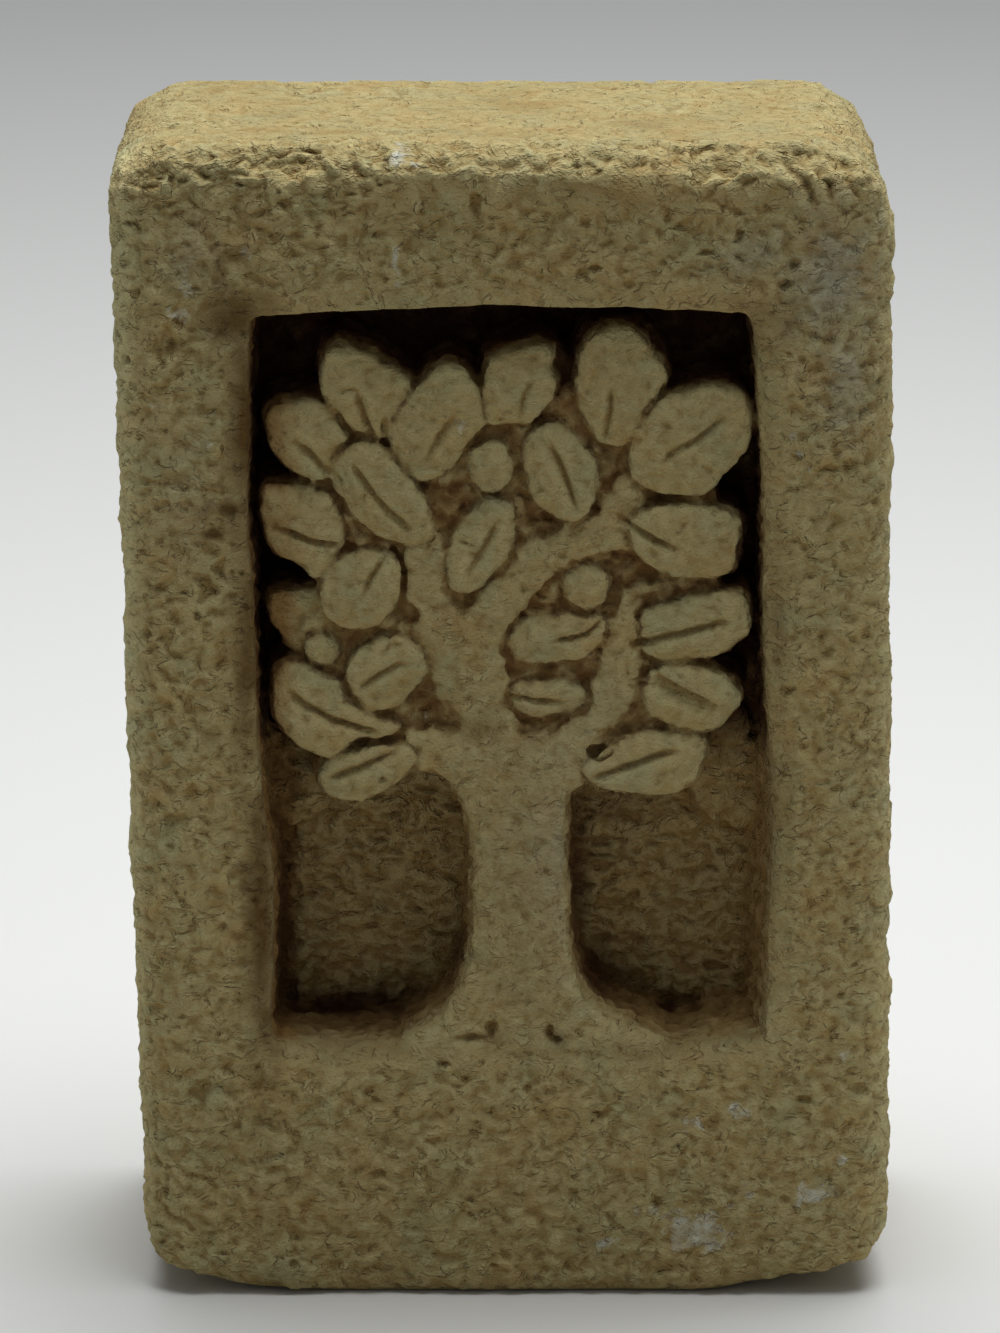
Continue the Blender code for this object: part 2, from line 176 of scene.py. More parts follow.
# Leaves, buds and a broken stub: how far the face lies behind the leaves' plane, and the outline
LEAVES = (
    (0.0, ((-21, 127.4), (-19, 126.5), (-16.8, 125.4), (-14.8, 124.1), (-12.7, 122.9), (-11.9, 121.5),
          (-13.3, 119.6), (-14.7, 117.2), (-15.2, 115.1), (-16, 114.7), (-17.2, 115.3), (-19, 115.6),
          (-20.1, 116.5), (-21.1, 117.8), (-22.7, 119.4), (-23.5, 121.1), (-23.7, 123.2), (-23.4, 125),
          (-22.6, 126.7))),
    (0.1, ((-30.3, 118.8), (-29.3, 119.4), (-28.1, 119.7), (-25.9, 119.8), (-23.9, 119.6), (-22.7, 119),
          (-21.9, 117.7), (-21.1, 116.3), (-20.3, 115.1), (-20.4, 114.4), (-21.5, 113.6), (-22.4, 112.4),
          (-22.9, 110.9), (-23, 109.6), (-24.4, 109.2), (-26, 109.7), (-27.8, 110.9), (-29.2, 112.2),
          (-30, 113.6), (-30.5, 115.5), (-30.6, 117.4))),
    (0.0, ((-11.7, 121.2), (-10.7, 122.4), (-9.6, 123.6), (-8.5, 124.5), (-7.3, 124.8), (-5.9, 124.2),
          (-4.8, 123.3), (-4, 121.9), (-3.4, 119.8), (-2.8, 117.6), (-3.2, 116.1), (-4.5, 114.5),
          (-5.6, 113.2), (-6.3, 112.1), (-7.1, 110.7), (-8.9, 109.9), (-10.6, 109.1), (-12, 109.5),
          (-13.2, 110.9), (-14.2, 112.4), (-14.9, 113.8), (-15, 115.5), (-14.5, 117.4), (-13.2, 119.4))),
    (0.1, ((-2.2, 125.1), (-1.3, 125.8), (0.2, 126.3), (2, 126.7), (3.5, 127.1), (4.6, 127.3), (5.4, 126.9),
          (6, 126), (5.8, 125), (5.4, 124.2), (5.8, 123.3), (6.3, 122.6), (6.2, 121.5), (5.8, 120.2),
          (4.9, 118.9), (4, 117.8), (2.9, 116.8), (1.1, 116.9), (-0.6, 117), (-2.1, 116.5), (-2.6, 117.8),
          (-2.9, 119.8), (-2.9, 121.8), (-2.7, 123.8))),
    (0.0, ((9.6, 126.8), (10.6, 128.2), (12.1, 129.1), (13.9, 129.6), (15.4, 129.4), (16.7, 128.7),
          (17.8, 127.7), (18.6, 126.4), (19.6, 125.3), (20.1, 124), (20.3, 122.6), (19.9, 121.3),
          (19, 120.4), (17.9, 119.3), (17.2, 117.8), (16.6, 116.2), (16, 114.9), (15, 113.8),
          (13.9, 113.6), (12.6, 114), (11.8, 114.2), (10.7, 115.5), (9.8, 117.5), (9.1, 119.3),
          (8.7, 121.5), (8.8, 123.8), (9.1, 125.4))),
    (0.0, ((20.6, 120.7), (22.6, 121), (25, 121.6), (26.9, 121.8), (28.9, 121.2), (30.2, 120.4),
          (31, 118.9), (31.1, 116.6), (30.9, 114.4), (30.3, 112.9), (29.2, 111.3), (27.9, 110.1),
          (26.6, 108.8), (25.3, 107.8), (23.8, 107.3), (22, 107.3), (19.6, 107.6), (17.5, 108.3),
          (16.2, 109.3), (15.6, 110.6), (15.5, 112.4), (16, 114.4), (16.8, 116.4), (17.7, 118),
          (18.7, 119.3))),
    (0.2, ((4, 116.5), (5.2, 117), (6.5, 116.9), (7.8, 116.2), (9, 114.9), (10, 113.7), (11, 112.4),
          (11.6, 111.1), (11.7, 109.5), (11.6, 107.7), (11, 106.1), (10.3, 105), (9.2, 104.2),
          (7.7, 103.9), (6.1, 104.3), (4.6, 105.5), (3.3, 107), (2.5, 108.8), (2.1, 110.8), (2, 112.9),
          (2.4, 114.6), (3.2, 115.8))),
    (0.0, ((-18.8, 114.6), (-17.4, 114.7), (-16.1, 114.1), (-14.9, 112.5), (-13.7, 111.1), (-12.4, 109.6),
          (-11.3, 108), (-10.2, 105.9), (-9.4, 104), (-9.1, 102.4), (-9.9, 101.3), (-11.4, 100.8),
          (-13.2, 100.9), (-15.3, 101.6), (-17.1, 102.3), (-18.6, 103.5), (-20, 105.1), (-21, 106.6),
          (-22, 108.2), (-22.6, 110.1), (-22.5, 112), (-21.4, 113.2), (-20, 113.8))),
    (0.1, ((-31.4, 107.4), (-31, 108.2), (-30, 108.6), (-27.2, 108.8), (-25.2, 108.6), (-23.5, 108.2),
          (-22.3, 107.4), (-21.7, 105.9), (-21.2, 104), (-20.9, 102.6), (-20.7, 101.3), (-21, 100.4),
          (-21.9, 99.5), (-22.6, 98.5), (-23.5, 97.5), (-24.4, 96.3), (-25.3, 96.8), (-26.3, 98),
          (-27.7, 98.8), (-29.1, 99.2), (-30.3, 100.5), (-30.9, 102.4), (-31.2, 104.3), (-31.5, 105.9))),
    (0.0, ((-23.9, 94.6), (-23.8, 96.1), (-23.2, 97.4), (-22.3, 98.5), (-21.1, 99.5), (-19.7, 100.1),
          (-18.1, 100.3), (-16.5, 100.2), (-15.2, 99.9), (-14.2, 99), (-13.7, 97.7), (-13.6, 96.3),
          (-13.7, 94.8), (-14.1, 93.3), (-14.9, 92.2), (-15.8, 91.3), (-17, 90.3), (-18.4, 89.6),
          (-20, 89.4), (-21.6, 89.8), (-22.8, 90.6), (-23.6, 91.9), (-24, 93.2))),
    (0.2, ((-20.7, 84.9), (-20.2, 86), (-19.2, 87.1), (-18, 87.9), (-16.5, 88.6), (-14.9, 89),
          (-13.3, 88.8), (-12.1, 88.1), (-11.1, 87.1), (-10.4, 86), (-10.1, 84.7), (-10.3, 83.5),
          (-11.1, 82.5), (-11.8, 81.6), (-12.7, 80.5), (-13.9, 79.6), (-15.6, 78.9), (-17, 78.8),
          (-18.2, 79.1), (-19.1, 80.1), (-19.9, 81), (-20.5, 82.4), (-20.8, 83.6))),
    (0.0, ((-30.2, 82.1), (-30.3, 80.7), (-30.4, 79), (-30, 77.7), (-28.9, 76.4), (-27.5, 74.9),
          (-25.8, 73.8), (-24.2, 73), (-22.8, 72.8), (-21.3, 73.6), (-20.1, 74.6), (-18.5, 75.1),
          (-16.4, 75.2), (-14.8, 75.4), (-14, 76), (-13.7, 76.7), (-14.2, 77.3), (-15.4, 77.7),
          (-16.8, 78.1), (-18.2, 78.6), (-19.6, 79.6), (-20.8, 80.5), (-21.2, 81.7), (-21.5, 82.9),
          (-22.9, 83.3), (-24.3, 83.8), (-25.5, 84.6), (-26.8, 85.2), (-28.2, 85.1), (-29.4, 84.5),
          (-30, 83.6))),
    (0.1, ((-24.2, 70), (-24, 71.3), (-23.2, 72.2), (-21.7, 72.8), (-20.1, 73.3), (-18.3, 73.9),
          (-16.4, 74.3), (-14.4, 74.5), (-12.7, 74.3), (-11.7, 73.4), (-11.6, 72.3), (-12.4, 71.1),
          (-13.6, 69.9), (-15, 68.7), (-16.4, 67.7), (-18.1, 66.9), (-19.9, 66.5), (-21.8, 66.8),
          (-23.3, 67.3), (-24.1, 68.6))),
    (0.0, ((15.5, 104.2), (16.8, 105.3), (18.6, 106.1), (20.9, 106.4), (23.8, 106.2), (26.6, 105.8),
          (28.6, 105.2), (29.8, 104.1), (30.2, 102.6), (29.8, 101), (29.4, 99.6), (29.5, 98.3),
          (29.1, 97.2), (28, 96.6), (25.6, 96.3), (22.5, 96.5), (19.9, 97.1), (18.4, 97.8), (17.3, 98.8),
          (16.3, 100.1), (15.5, 101.9), (15.2, 103.2))),
    (0.2, ((17.2, 91.1), (17.6, 92.2), (18.5, 92.6), (19.7, 93), (21, 93.3), (22.8, 93.8), (24.7, 94.2),
          (26.7, 94.6), (28.2, 94.7), (29.7, 94.4), (30.6, 93.8), (31, 92.3), (31.2, 90.4), (31.1, 89.1),
          (30.4, 88.5), (29.4, 87.8), (28.1, 86.9), (26.6, 86.2), (25, 85.9), (22.8, 85.8), (21.1, 85.6),
          (19.8, 85.6), (18.7, 85.9), (17.8, 86.4), (17.4, 87.3), (17.1, 89.1))),
    (0.0, ((18.5, 84.3), (19.8, 85), (21.7, 85.1), (23.9, 85), (25.9, 84.5), (27.7, 83.6), (29.2, 82.4),
          (30.1, 80.9), (30.1, 79.9), (29, 78.6), (27.9, 77.3), (26.6, 76.3), (24.9, 76), (22.9, 76.2),
          (21.1, 76.6), (19.6, 77.4), (18.5, 78.5), (17.7, 79.8), (17.4, 81.4), (17.7, 83))),
    (0.0, ((9.7, 70.8), (9.8, 71.8), (10.7, 72.7), (12, 73.3), (13.7, 74.3), (15.3, 75.2), (17, 75.8),
          (18.5, 76.1), (20.3, 76.3), (22, 76.1), (23.6, 75.9), (24.9, 75.5), (25.4, 74.9), (25.6, 73.7),
          (25.8, 72.6), (25.3, 71.6), (24.9, 70.4), (24.5, 69.3), (23.6, 68.6), (22.5, 68), (20.8, 67.6),
          (18.6, 67.5), (16.4, 67.7), (14.6, 68), (12.8, 68.4), (11.5, 69.1), (10.3, 69.8))),
    (0.6, ((0, 87.2), (0.2, 88.6), (1, 90), (2.3, 90.7), (4, 91.2), (6, 91.5), (7.7, 91.7), (9.4, 91.4),
          (11, 91.5), (12.2, 91.6), (12.9, 90.6), (12.8, 89.1), (12, 87.5), (10.7, 86.4), (9.6, 85.5),
          (8, 85.5), (6.2, 85.1), (4, 84.9), (2.1, 85.2), (0.8, 86))),
    (0.8, ((0.3, 80.9), (0.6, 82), (1.6, 82.6), (3.1, 82.8), (4.9, 82.7), (6.4, 82.8), (7.9, 82.7),
          (9.3, 82.4), (10, 81.8), (10.4, 80.9), (10.3, 79.6), (9.6, 78.9), (8.4, 78.5), (6.9, 78.1),
          (5.3, 77.9), (3.8, 77.6), (2.7, 78), (1.6, 78.7), (0.6, 79.6))),
    (0.3, ((-7.8, 97.8), (-7.5, 99.9), (-6.9, 102.3), (-5.7, 104.4), (-4.2, 106), (-3, 106.9), (-2, 107),
          (-0.8, 106.8), (0.2, 106.4), (0.9, 105.6), (1.2, 104.4), (1.2, 102.6), (0.9, 100.8), (0.3, 99.1),
          (-0.9, 97.8), (-2.5, 96.4), (-3.7, 95.2), (-5.1, 94.5), (-6.3, 94.5), (-7.1, 95.3), (-7.6, 96.5))),
    (0.2, ((-4.9, 112), (-4.6, 113.3), (-3.7, 114.2), (-2.4, 114.6), (-1, 114.5), (0.1, 113.8),
          (0.7, 112.5), (0.8, 110.9), (0.6, 109.3), (-0.3, 108.2), (-1.5, 107.7), (-2.9, 107.8),
          (-4.1, 108.6), (-4.8, 109.9))),
    (1.0, ((-26.1, 87), (-25.8, 88.1), (-25.1, 88.9), (-23.9, 89.2), (-22.7, 89), (-21.8, 88.3),
          (-21.4, 87.2), (-21.6, 86), (-22.1, 85), (-22.9, 84.6), (-23.9, 84.6), (-25.1, 85.2),
          (-25.8, 85.9))),
    (0.6, ((7.1, 95), (7.3, 96.3), (8.2, 97.4), (9.3, 98.1), (10.5, 98.3), (11.8, 98), (12.8, 97.1),
          (13.2, 95.8), (13.2, 94.5), (12.8, 93.3), (11.8, 92.4), (10.5, 92.1), (9.1, 92.3), (7.8, 93.1),
          (7.2, 94))),
    (2.6, ((-30.6, 93.9), (-29.5, 94.3), (-27.7, 94.4), (-25.7, 94.4), (-24.2, 94.4), (-23.9, 93.3),
          (-23.7, 92.1), (-23.4, 90.8), (-23.2, 89.8), (-24.1, 89.1), (-25.5, 89.1), (-26.1, 88.1),
          (-26.3, 87), (-26.7, 86.2), (-27.8, 86.3), (-28.4, 87.1), (-28.9, 88.1), (-29.6, 89.1),
          (-30.3, 89.8), (-30.6, 91.2), (-30.6, 92.7))),
)

# Trunk, boughs and twig: outlines of their faces
BOUGHS = (
    ((-12.9, 102.5), (-12.9, 100.4), (-13, 98.3), (-13.2, 96.2), (-13.2, 94.3), (-12.8, 92.8),
     (-11.3, 92.3), (-11.2, 90.3), (-11.6, 89.2), (-11.2, 88.2), (-10.4, 86.5), (-9.7, 84.8), (-9.7, 83.1),
     (-9.5, 81.7), (-9.2, 80.6), (-7.8, 79.7), (-6.3, 78.4), (-5.3, 76.7), (-1.7, 76.7), (0.4, 82.7),
     (-0.8, 86.9), (-3.7, 89.9), (-5.8, 91.9), (-7, 93.7), (-7.9, 95.3), (-8.3, 97.4), (-8.4, 99.9),
     (-8.2, 102.5), (-9.8, 102.9), (-11.8, 102.9)),
    ((-9.9, 88.4), (-5.8, 91.9), (-4.4, 93.2), (-2.8, 94.7), (-1.2, 96.4), (0.2, 97.7), (0.4, 98.2),
     (1.7, 100.4), (2.9, 101.4), (4, 101.8), (5.3, 102), (6.5, 102.9), (7.9, 103.4), (9.6, 103.9),
     (11.4, 104.7), (12.3, 106.3), (13.1, 107.8), (14, 109.2), (15.1, 110.5), (18.3, 108.5), (17.5, 106.7),
     (15.4, 104.3), (15.4, 101.8), (16.2, 100), (16.2, 99.6), (14.7, 100), (12.7, 100), (11, 99.5),
     (9.2, 98.7), (7.5, 97.8), (5.8, 96.6), (4.2, 95.3), (3.1, 93.8), (1.9, 92.4), (0.8, 91), (-0.3, 89),
     (-1, 86.9), (-1.2, 84.4), (-1.2, 82.2), (-2.2, 79), (-4.8, 79)),
    ((-8, 80.4), (-6, 86.4), (-2.2, 88.4), (-1.2, 84.5), (-1.2, 81.7), (-0.8, 79.9), (0.2, 79.3),
     (1.3, 78.1), (1.5, 76.7), (1.8, 75.2), (3.1, 74.5), (5.2, 74.7), (6.4, 75.6), (7.5, 76.7),
     (8.8, 77.6), (10.6, 78.8), (11.9, 74.5), (11.1, 73.5), (9.9, 72.4), (9.5, 71.2), (9.7, 69.8),
     (9.5, 68.9), (9.6, 69), (8.2, 68.5), (7.5, 67.2), (7.3, 64.9), (7.3, 58.8), (7.5, 54.8), (7.7, 50.9),
     (7.8, 48.6), (8.1, 46.6), (8.4, 44.8), (9, 42.7), (9.9, 40.6), (11.2, 39.1), (12.9, 37.8),
     (16.3, 36.3), (21.2, 34.2), (23.7, 30.1), (-16.4, 30.1), (-13.9, 34.2), (-10.4, 36.3), (-8.8, 37.2),
     (-7.7, 38.3), (-6.7, 40.1), (-5.9, 41.7), (-5.1, 43.7), (-4.5, 45.8), (-4.3, 48.1), (-4.2, 50.9),
     (-4.2, 55.8), (-4.2, 58.8), (-4.3, 61.4), (-4.7, 63.4), (-5.2, 65.2), (-5.8, 67), (-6.7, 68.5),
     (-7.7, 69.8), (-8.9, 70.8), (-10, 71.5), (-11.3, 71), (-11.7, 72.1), (-11.7, 73.5), (-12.7, 74.4),
     (-13.1, 75.5), (-12.6, 76.3), (-11.1, 76.1), (-9, 76.4), (-6.8, 76.2), (-5.8, 77.2)),
    ((14.6, 94.8), (15.1, 95.3), (15.9, 95), (16.3, 94.4), (16.5, 92.6), (16.4, 91), (16.6, 89),
     (16.9, 86.9), (17.2, 84.9), (17.1, 82.9), (16.7, 80.8), (16, 79.2), (15.2, 78.1), (13.6, 76.9),
     (12.5, 75.6), (11.9, 74.5), (8.9, 72.1), (6.2, 73.5), (7.5, 76.7), (8.8, 77.6), (9.6, 78.3),
     (10.5, 79.3), (10.7, 80.6), (10.8, 82.2), (11.2, 83.5), (11.8, 85.4), (12.4, 86.9), (13, 88.8),
     (13.5, 90.6), (14, 91.9), (14.4, 93.3)),
)

# Stone left standing behind the leaves, and rougher stone deeper in: depth and outline
STANDING = (
    (4.2, ((-20.7, 117.9), (-25.5, 114.1), (-27.8, 103.6), (-21.7, 99.9), (-22.8, 93), (-26.7, 89.7),
          (-26.7, 85.7), (-22.9, 81), (-26.8, 77), (-21.6, 70.3), (-11.3, 71.3), (-4.8, 67.6), (6.9, 68.9),
          (17.2, 70.3), (23.7, 69.6), (25.2, 74.3), (26.9, 79.7), (25.7, 87.7), (26.8, 93), (27.6, 98.3),
          (28, 103.6), (24.7, 110.2), (27.2, 115.4), (23.4, 118.1), (16, 120), (11.9, 115.4), (8.7, 120.6),
          (6.7, 120.8), (4.8, 116.7), (1.7, 120), (-5, 118.1), (-7.3, 119.4), (-11.8, 114.1),
          (-13.7, 116.7))),
    (13.0, ((-32.2, 74), (-26.8, 72.9), (-23.6, 70.3), (-21.4, 66.2), (-22.5, 64.2), (-27.9, 60),
          (-29.5, 61.3), (-31.8, 66.2))),
    (13.0, ((24.7, 74.6), (29.5, 78.1), (32.3, 72.9), (33.5, 60.8), (30, 59.7), (25.9, 61.9), (23.5, 66.2),
          (25.7, 70.3))),
    (6.8, ((6.2, 124.6), (7.5, 124.9), (9, 122.5), (8.8, 116.7), (6.8, 115.4), (5.2, 119.4))),
)

# The recess's outline in the front face
RECESS = ((-32.7, 130.4), (-31.7, 131.3), (-26.2, 131.6), (-19.9, 132), (-11, 132.2), (-6, 132.5),
          (-0.9, 132.8), (6.7, 132.4), (11.7, 132.4), (16.8, 132.4), (21.8, 132.1), (26.9, 131.9),
          (30.1, 131.6), (31.1, 130.4), (31.5, 125.8), (31.8, 120.6), (32.4, 114.1), (32.6, 104.9),
          (32.7, 91.8), (33.3, 81.2), (33.9, 73.2), (34.3, 63.8), (34.1, 54.3), (33.9, 46.2), (33.8, 36.0),
          (32.2, 34.5), (17.3, 34.2), (-0.9, 34.2), (-19.1, 34.3), (-29.7, 34.5), (-30.7, 35.6),
          (-30.7, 40.7), (-30.5, 46.2), (-30.3, 54.3), (-30.4, 59.5), (-31.3, 63.8), (-31.7, 69.1),
          (-32.1, 75.8), (-32.3, 81.2), (-32.6, 89.1), (-32.6, 94.4), (-32.9, 99.7), (-33.3, 102.3),
          (-33.1, 110.2), (-33, 120.6))

# Veins cut in the leaves: route (across, up), width to its left and right, depth
VEINS = (
    (((-19.1, 121.2), (-18.2, 118.5), (-17.2, 115.0)), 0.5, 0.9, 1.5),
    (((-15.5, 117.4), (-15.7, 114.4)), 0.5, 0.6, 1.6),
    (((-26.9, 114.7), (-25.2, 113.3), (-22.8, 110.7)), 0.5, 0.9, 1.5),
    (((-6.9, 117.8), (-8.2, 115.9), (-10.3, 112.2)), 0.9, 0.6, 1.0),
    (((3.3, 122.4), (2.2, 120.7), (1.8, 118.0)), 0.6, 0.6, 0.9),
    (((13.1, 121.4), (13.2, 118.8), (12.7, 116.2), (12.2, 114.1)), 0.6, 0.7, 1.1),
    (((27.6, 117.7), (24.6, 115.1), (22.0, 113.9), (19.9, 112.1)), 0.7, 0.6, 1.1),
    (((5.7, 113.9), (7.0, 111.4), (7.9, 109.0), (8.9, 105.9)), 0.5, 0.9, 1.4),
    (((-19.8, 111.7), (-18.5, 109.6), (-16.9, 107.4), (-15.0, 105.3), (-12.7, 103.2)), 0.6, 0.7, 1.4),
    (((-29.8, 103.4), (-27.8, 102.9), (-25.2, 101.7), (-22.6, 101.1), (-20.7, 100.8)), 0.4, 0.7, 1.5),
    (((-18.5, 94.5), (-17.2, 97.1), (-15.6, 99.5)), 0.6, 0.6, 1.1),
    (((-15.6, 99.5), (-14.6, 100.1), (-13.6, 99.1), (-13.2, 96.4), (-13.5, 93.8)), 0.5, 0.5, 1.2),
    (((-1.2, 104.1), (-2.3, 101.7), (-3.5, 99.7), (-5.0, 97.5)), 0.7, 0.7, 1.1),
    (((-6.5, 101.6), (-3.7, 100.7)), 0.3, 0.3, 0.6),
    (((-19.0, 81.8), (-16.3, 83.8), (-13.5, 85.4)), 0.6, 0.5, 1.1),
    (((-16.1, 86.5), (-15.4, 87.4), (-14.8, 88.4)), 0.4, 0.4, 0.8),
    (((-27.9, 81.7), (-26.0, 80.0), (-22.4, 78.0), (-20.2, 77.3), (-16.6, 76.1)), 0.5, 0.9, 1.5),
    (((-23.0, 69.9), (-19.1, 71.4), (-14.6, 73.7)), 0.7, 0.8, 1.4),
    (((-20.6, 74.0), (-18.7, 74.9), (-14.7, 75.0)), 0.5, 0.5, 1.1),
    (((14.7, 104.4), (17.0, 103.0), (18.9, 101.7), (21.4, 100.8)), 0.6, 0.7, 1.5),
    (((5.8, 88.1), (9.8, 89.0), (11.4, 90.2), (12.6, 91.7)), 0.4, 0.5, 1.2),
    (((-0.3, 80.9), (4.0, 80.2), (7.3, 79.8)), 0.5, 0.6, 1.2),
    (((16.2, 87.8), (20.2, 88.9), (25.2, 90.1), (27.8, 91.0)), 0.6, 0.9, 1.4),
    (((18.6, 84.4), (20.7, 83.0), (22.6, 81.8), (26.7, 79.8)), 0.4, 2.2, 1.7),
    (((11.0, 69.8), (15.2, 71.5), (21.3, 73.7)), 0.8, 0.7, 1.3),
)

# Larger pits and small hollows in the front: across, up, half width, half height, depth
HOLLOWS = (
    (-4.0, 145.8, 0.9, 1.4, 1.3), (11.3, 137.7, 0.8, 0.4, 0.9), (24.9, 139.6, 1.1, 0.5, 1.0),
    (29.3, 141.9, 0.5, 0.7, 0.9), (36.3, 138.1, 0.8, 0.6, 0.9), (35.1, 135.5, 1.0, 0.6, 0.9),
    (-16.1, 69.8, 0.5, 0.5, 0.8), (-4.5, 35.5, 2.2, 0.5, 0.9), (-1.9, 36.6, 0.8, 1.0, 1.2),
    (5.6, 36.2, 0.5, 1.1, 1.3), (6.4, 35.2, 0.7, 0.5, 1.0), (2.7, 28.5, 0.6, 0.6, 0.8),
    (-37.5, 103.0, 1.2, 0.9, 0.7), (-35.5, 106.0, 1.4, 0.7, 0.6), (-40.0, 28.5, 1.8, 1.4, 0.8),
    (-43.0, 128.0, 1.6, 2.4, 0.8), (-38.4, 96.0, 1.3, 1.9, 0.8), (38.6, 27.0, 1.2, 0.6, 0.9),
    (12.1, 73.5, 1.2, 0.8, 1.6), (12.2, 25.0, 1.0, 0.5, 0.8), (19.6, 12.8, 0.8, 0.7, 0.7),
    (-16.5, 17.0, 0.7, 0.5, 0.7), (-8.2, 32.0, 1.0, 0.35, 0.7),
)

# Chisel grooves: their place (across, up, half width, half height), angle, spacing and share of the depth
GROOVES = (
    ((39.5, 148.5, 6.0, 5.0), -64.0, 2.5, 1.0), ((28.0, 147.0, 4.0, 3.0), 40.0, 1.9, 0.7),
    ((-43.0, 15.0, 6.5, 8.0), -38.0, 2.2, 0.8), ((-43.5, 84.0, 4.5, 15.0), -62.0, 2.4, 0.7),
)

# Small pits: size of the cells that may hold one, its half width in cells, and how rare it is
PITS = (((4.4, 4.4, 3.4), 0.24, 0.52), ((2.6, 2.6, 2.0), 0.22, 0.62))

# Chalky places: across, up, half width, half height, strength
CHALK = (
    (24.2, 9.0, 5.2, 3.2, 0.85), (40.2, 14.0, 3.6, 1.4, 0.9), (29.8, 25.7, 1.8, 1.2, 0.7),
    (24.6, 23.7, 1.2, 0.9, 0.75), (13.5, 7.0, 2.4, 1.2, 0.7), (43.6, 18.8, 1.0, 0.7, 0.9),
    (44.0, 32.6, 0.9, 0.9, 0.8), (36.6, 115.8, 0.45, 0.7, 1.0), (37.2, 113.5, 0.4, 0.5, 0.8),
    (38.6, 111.6, 0.6, 0.5, 0.8), (40.6, 109.6, 0.6, 0.4, 0.8), (-14.1, 138.5, 0.7, 2.1, 0.9),
    (-40.7, 134.9, 0.8, 1.4, 0.8), (-40.9, 132.0, 1.9, 1.1, 0.85), (-33.0, 139.4, 1.0, 1.0, 0.55),
    (-6.2, 117.4, 0.8, 1.9, 0.7), (-13.4, 151.6, 1.8, 1.2, 0.8), (-10.6, 77.8, 0.7, 0.6, 0.8),
    (-27.6, 89.8, 2.6, 3.4, 0.3), (31.0, 14.4, 2.2, 2.6, 0.45), (26.6, 78.6, 0.6, 0.5, 0.5),
    (-36.0, 14.0, 2.4, 2.6, 0.35), (-44.6, 118.0, 2.4, 6.0, 0.35), (-38.0, 116.0, 1.4, 2.6, 0.45),
    (3.2, 27.0, 0.35, 0.8, 0.8), (10.5, 19.2, 1.2, 1.0, 0.45), (21.2, 11.0, 2.4, 2.4, 0.4),
)

# Brown stains, given in the same way, and two long bands of painted shade on the sill's lip
STAINS_AND_SILL_SHADE = (
    (-34.4, 131.0, 4.4, 3.8, 0.95), (-37.3, 103.0, 1.5, 1.1, 0.9), (-35.3, 106.2, 2.0, 1.0, 0.9),
    (-33.0, 104.0, 3.5, 4.0, 0.55), (-33.4, 118.0, 2.0, 14.0, 1.0), (-33.2, 88.0, 2.0, 18.0, 0.9),
    (-31.8, 52.0, 2.2, 20.0, 1.0), (-29.6, 36.5, 1.6, 3.0, 0.6), (33.0, 131.0, 4.0, 3.0, 0.4),
    (34.4, 92.0, 1.5, 9.0, 0.35), (33.6, 66.0, 3.0, 10.0, 0.35), (-36.0, 138.0, 1.6, 1.4, 0.6),
    # The last two here are painted shade along the sill's lip, not stains
    (6.6, 35.0, 1.4, 1.4, 0.6), (-20.0, 33.6, 9.0, 1.3, 0.35), (20.0, 33.4, 9.0, 1.3, 0.3),
    (-2.0, 35.4, 1.6, 1.2, 0.6), (-3.0, 76.6, 2.4, 1.4, 0.5), (1.6, 54.0, 6.5, 20.0, 0.16),
)

# Painted shade in the recess's corners, given in the same way
SHADED_CORNERS = (
    (11.0, 40.0, 4.5, 4.5, 0.9), (9.2, 54.0, 1.6, 12.0, 0.85), (-29.8, 48.0, 1.7, 18.0, 0.85),
    (-6.0, 42.0, 1.8, 5.0, 0.6), (-18.0, 35.5, 14.0, 1.6, 0.6), (14.0, 62.0, 6.0, 2.0, 0.4),
    (30.0, 76.0, 2.4, 3.6, 0.5), (-28.5, 68.0, 3.0, 4.0, 0.5),
)

# Grey smears left by handling, given in the same way
SMEARS = (
    (41.0, 136.0, 4.4, 6.5, 0.8), (30.5, 139.0, 4.0, 3.0, 0.4), (43.0, 124.0, 2.6, 6.0, 0.6),
    (-40.0, 140.0, 3.0, 4.5, 0.25), (-41.0, 108.0, 3.0, 8.0, 0.2), (8.0, 60.0, 7.0, 14.0, 0.3),
)


def to_linear(code):
    """Turns an sRGB hex value into the linear colour that Blender works in."""
    shares = [int(code[place:place + 2], 16) / 255 for place in (0, 2, 4)]
    return [s / 12.92 if s <= 0.04045 else ((s + 0.055) / 1.055) ** 2.4 for s in shares]


def colour(name, description, code):
    """Makes a colour property from an sRGB hex value."""
    return bpy.props.FloatVectorProperty(name=name, description=description, subtype="COLOR", size=3,
                                         min=0.0, max=1.0, default=to_linear(code))


def length(name, description, default):
    """Makes a length property, in metres."""
    return bpy.props.FloatProperty(name=name, description=description, unit="LENGTH", min=0.0,
                                   precision=5, default=default)


class PlaqueSkin(bpy.types.PropertyGroup):
    """Sizes of the marks that the tools and time have left."""

    cell: length("Cutting cell", "Edge of the cells that the skin is cut in", 0.00036)
    faces: bpy.props.IntProperty(name="Faces", description="Most triangles in the finished skin",
                                 default=190000, min=10000, max=199000)
    waviness: length("Waviness", "How far the dressed faces wander from flat", 0.00030)
    lump: length("Lump depth", "Depth of the small lumps all over the stone", 0.00030)
    ledge: length("Ledge depth", "Depth of the broken ledges on the top arris", 0.00095)
    pick: length("Pick depth", "Depth of the pick strokes on the recess's back wall", 0.00050)
    groove: length("Groove depth", "Depth of the chisel grooves", 0.00055)
    pit: length("Pit depth", "Depth of the small pits", 0.00050)


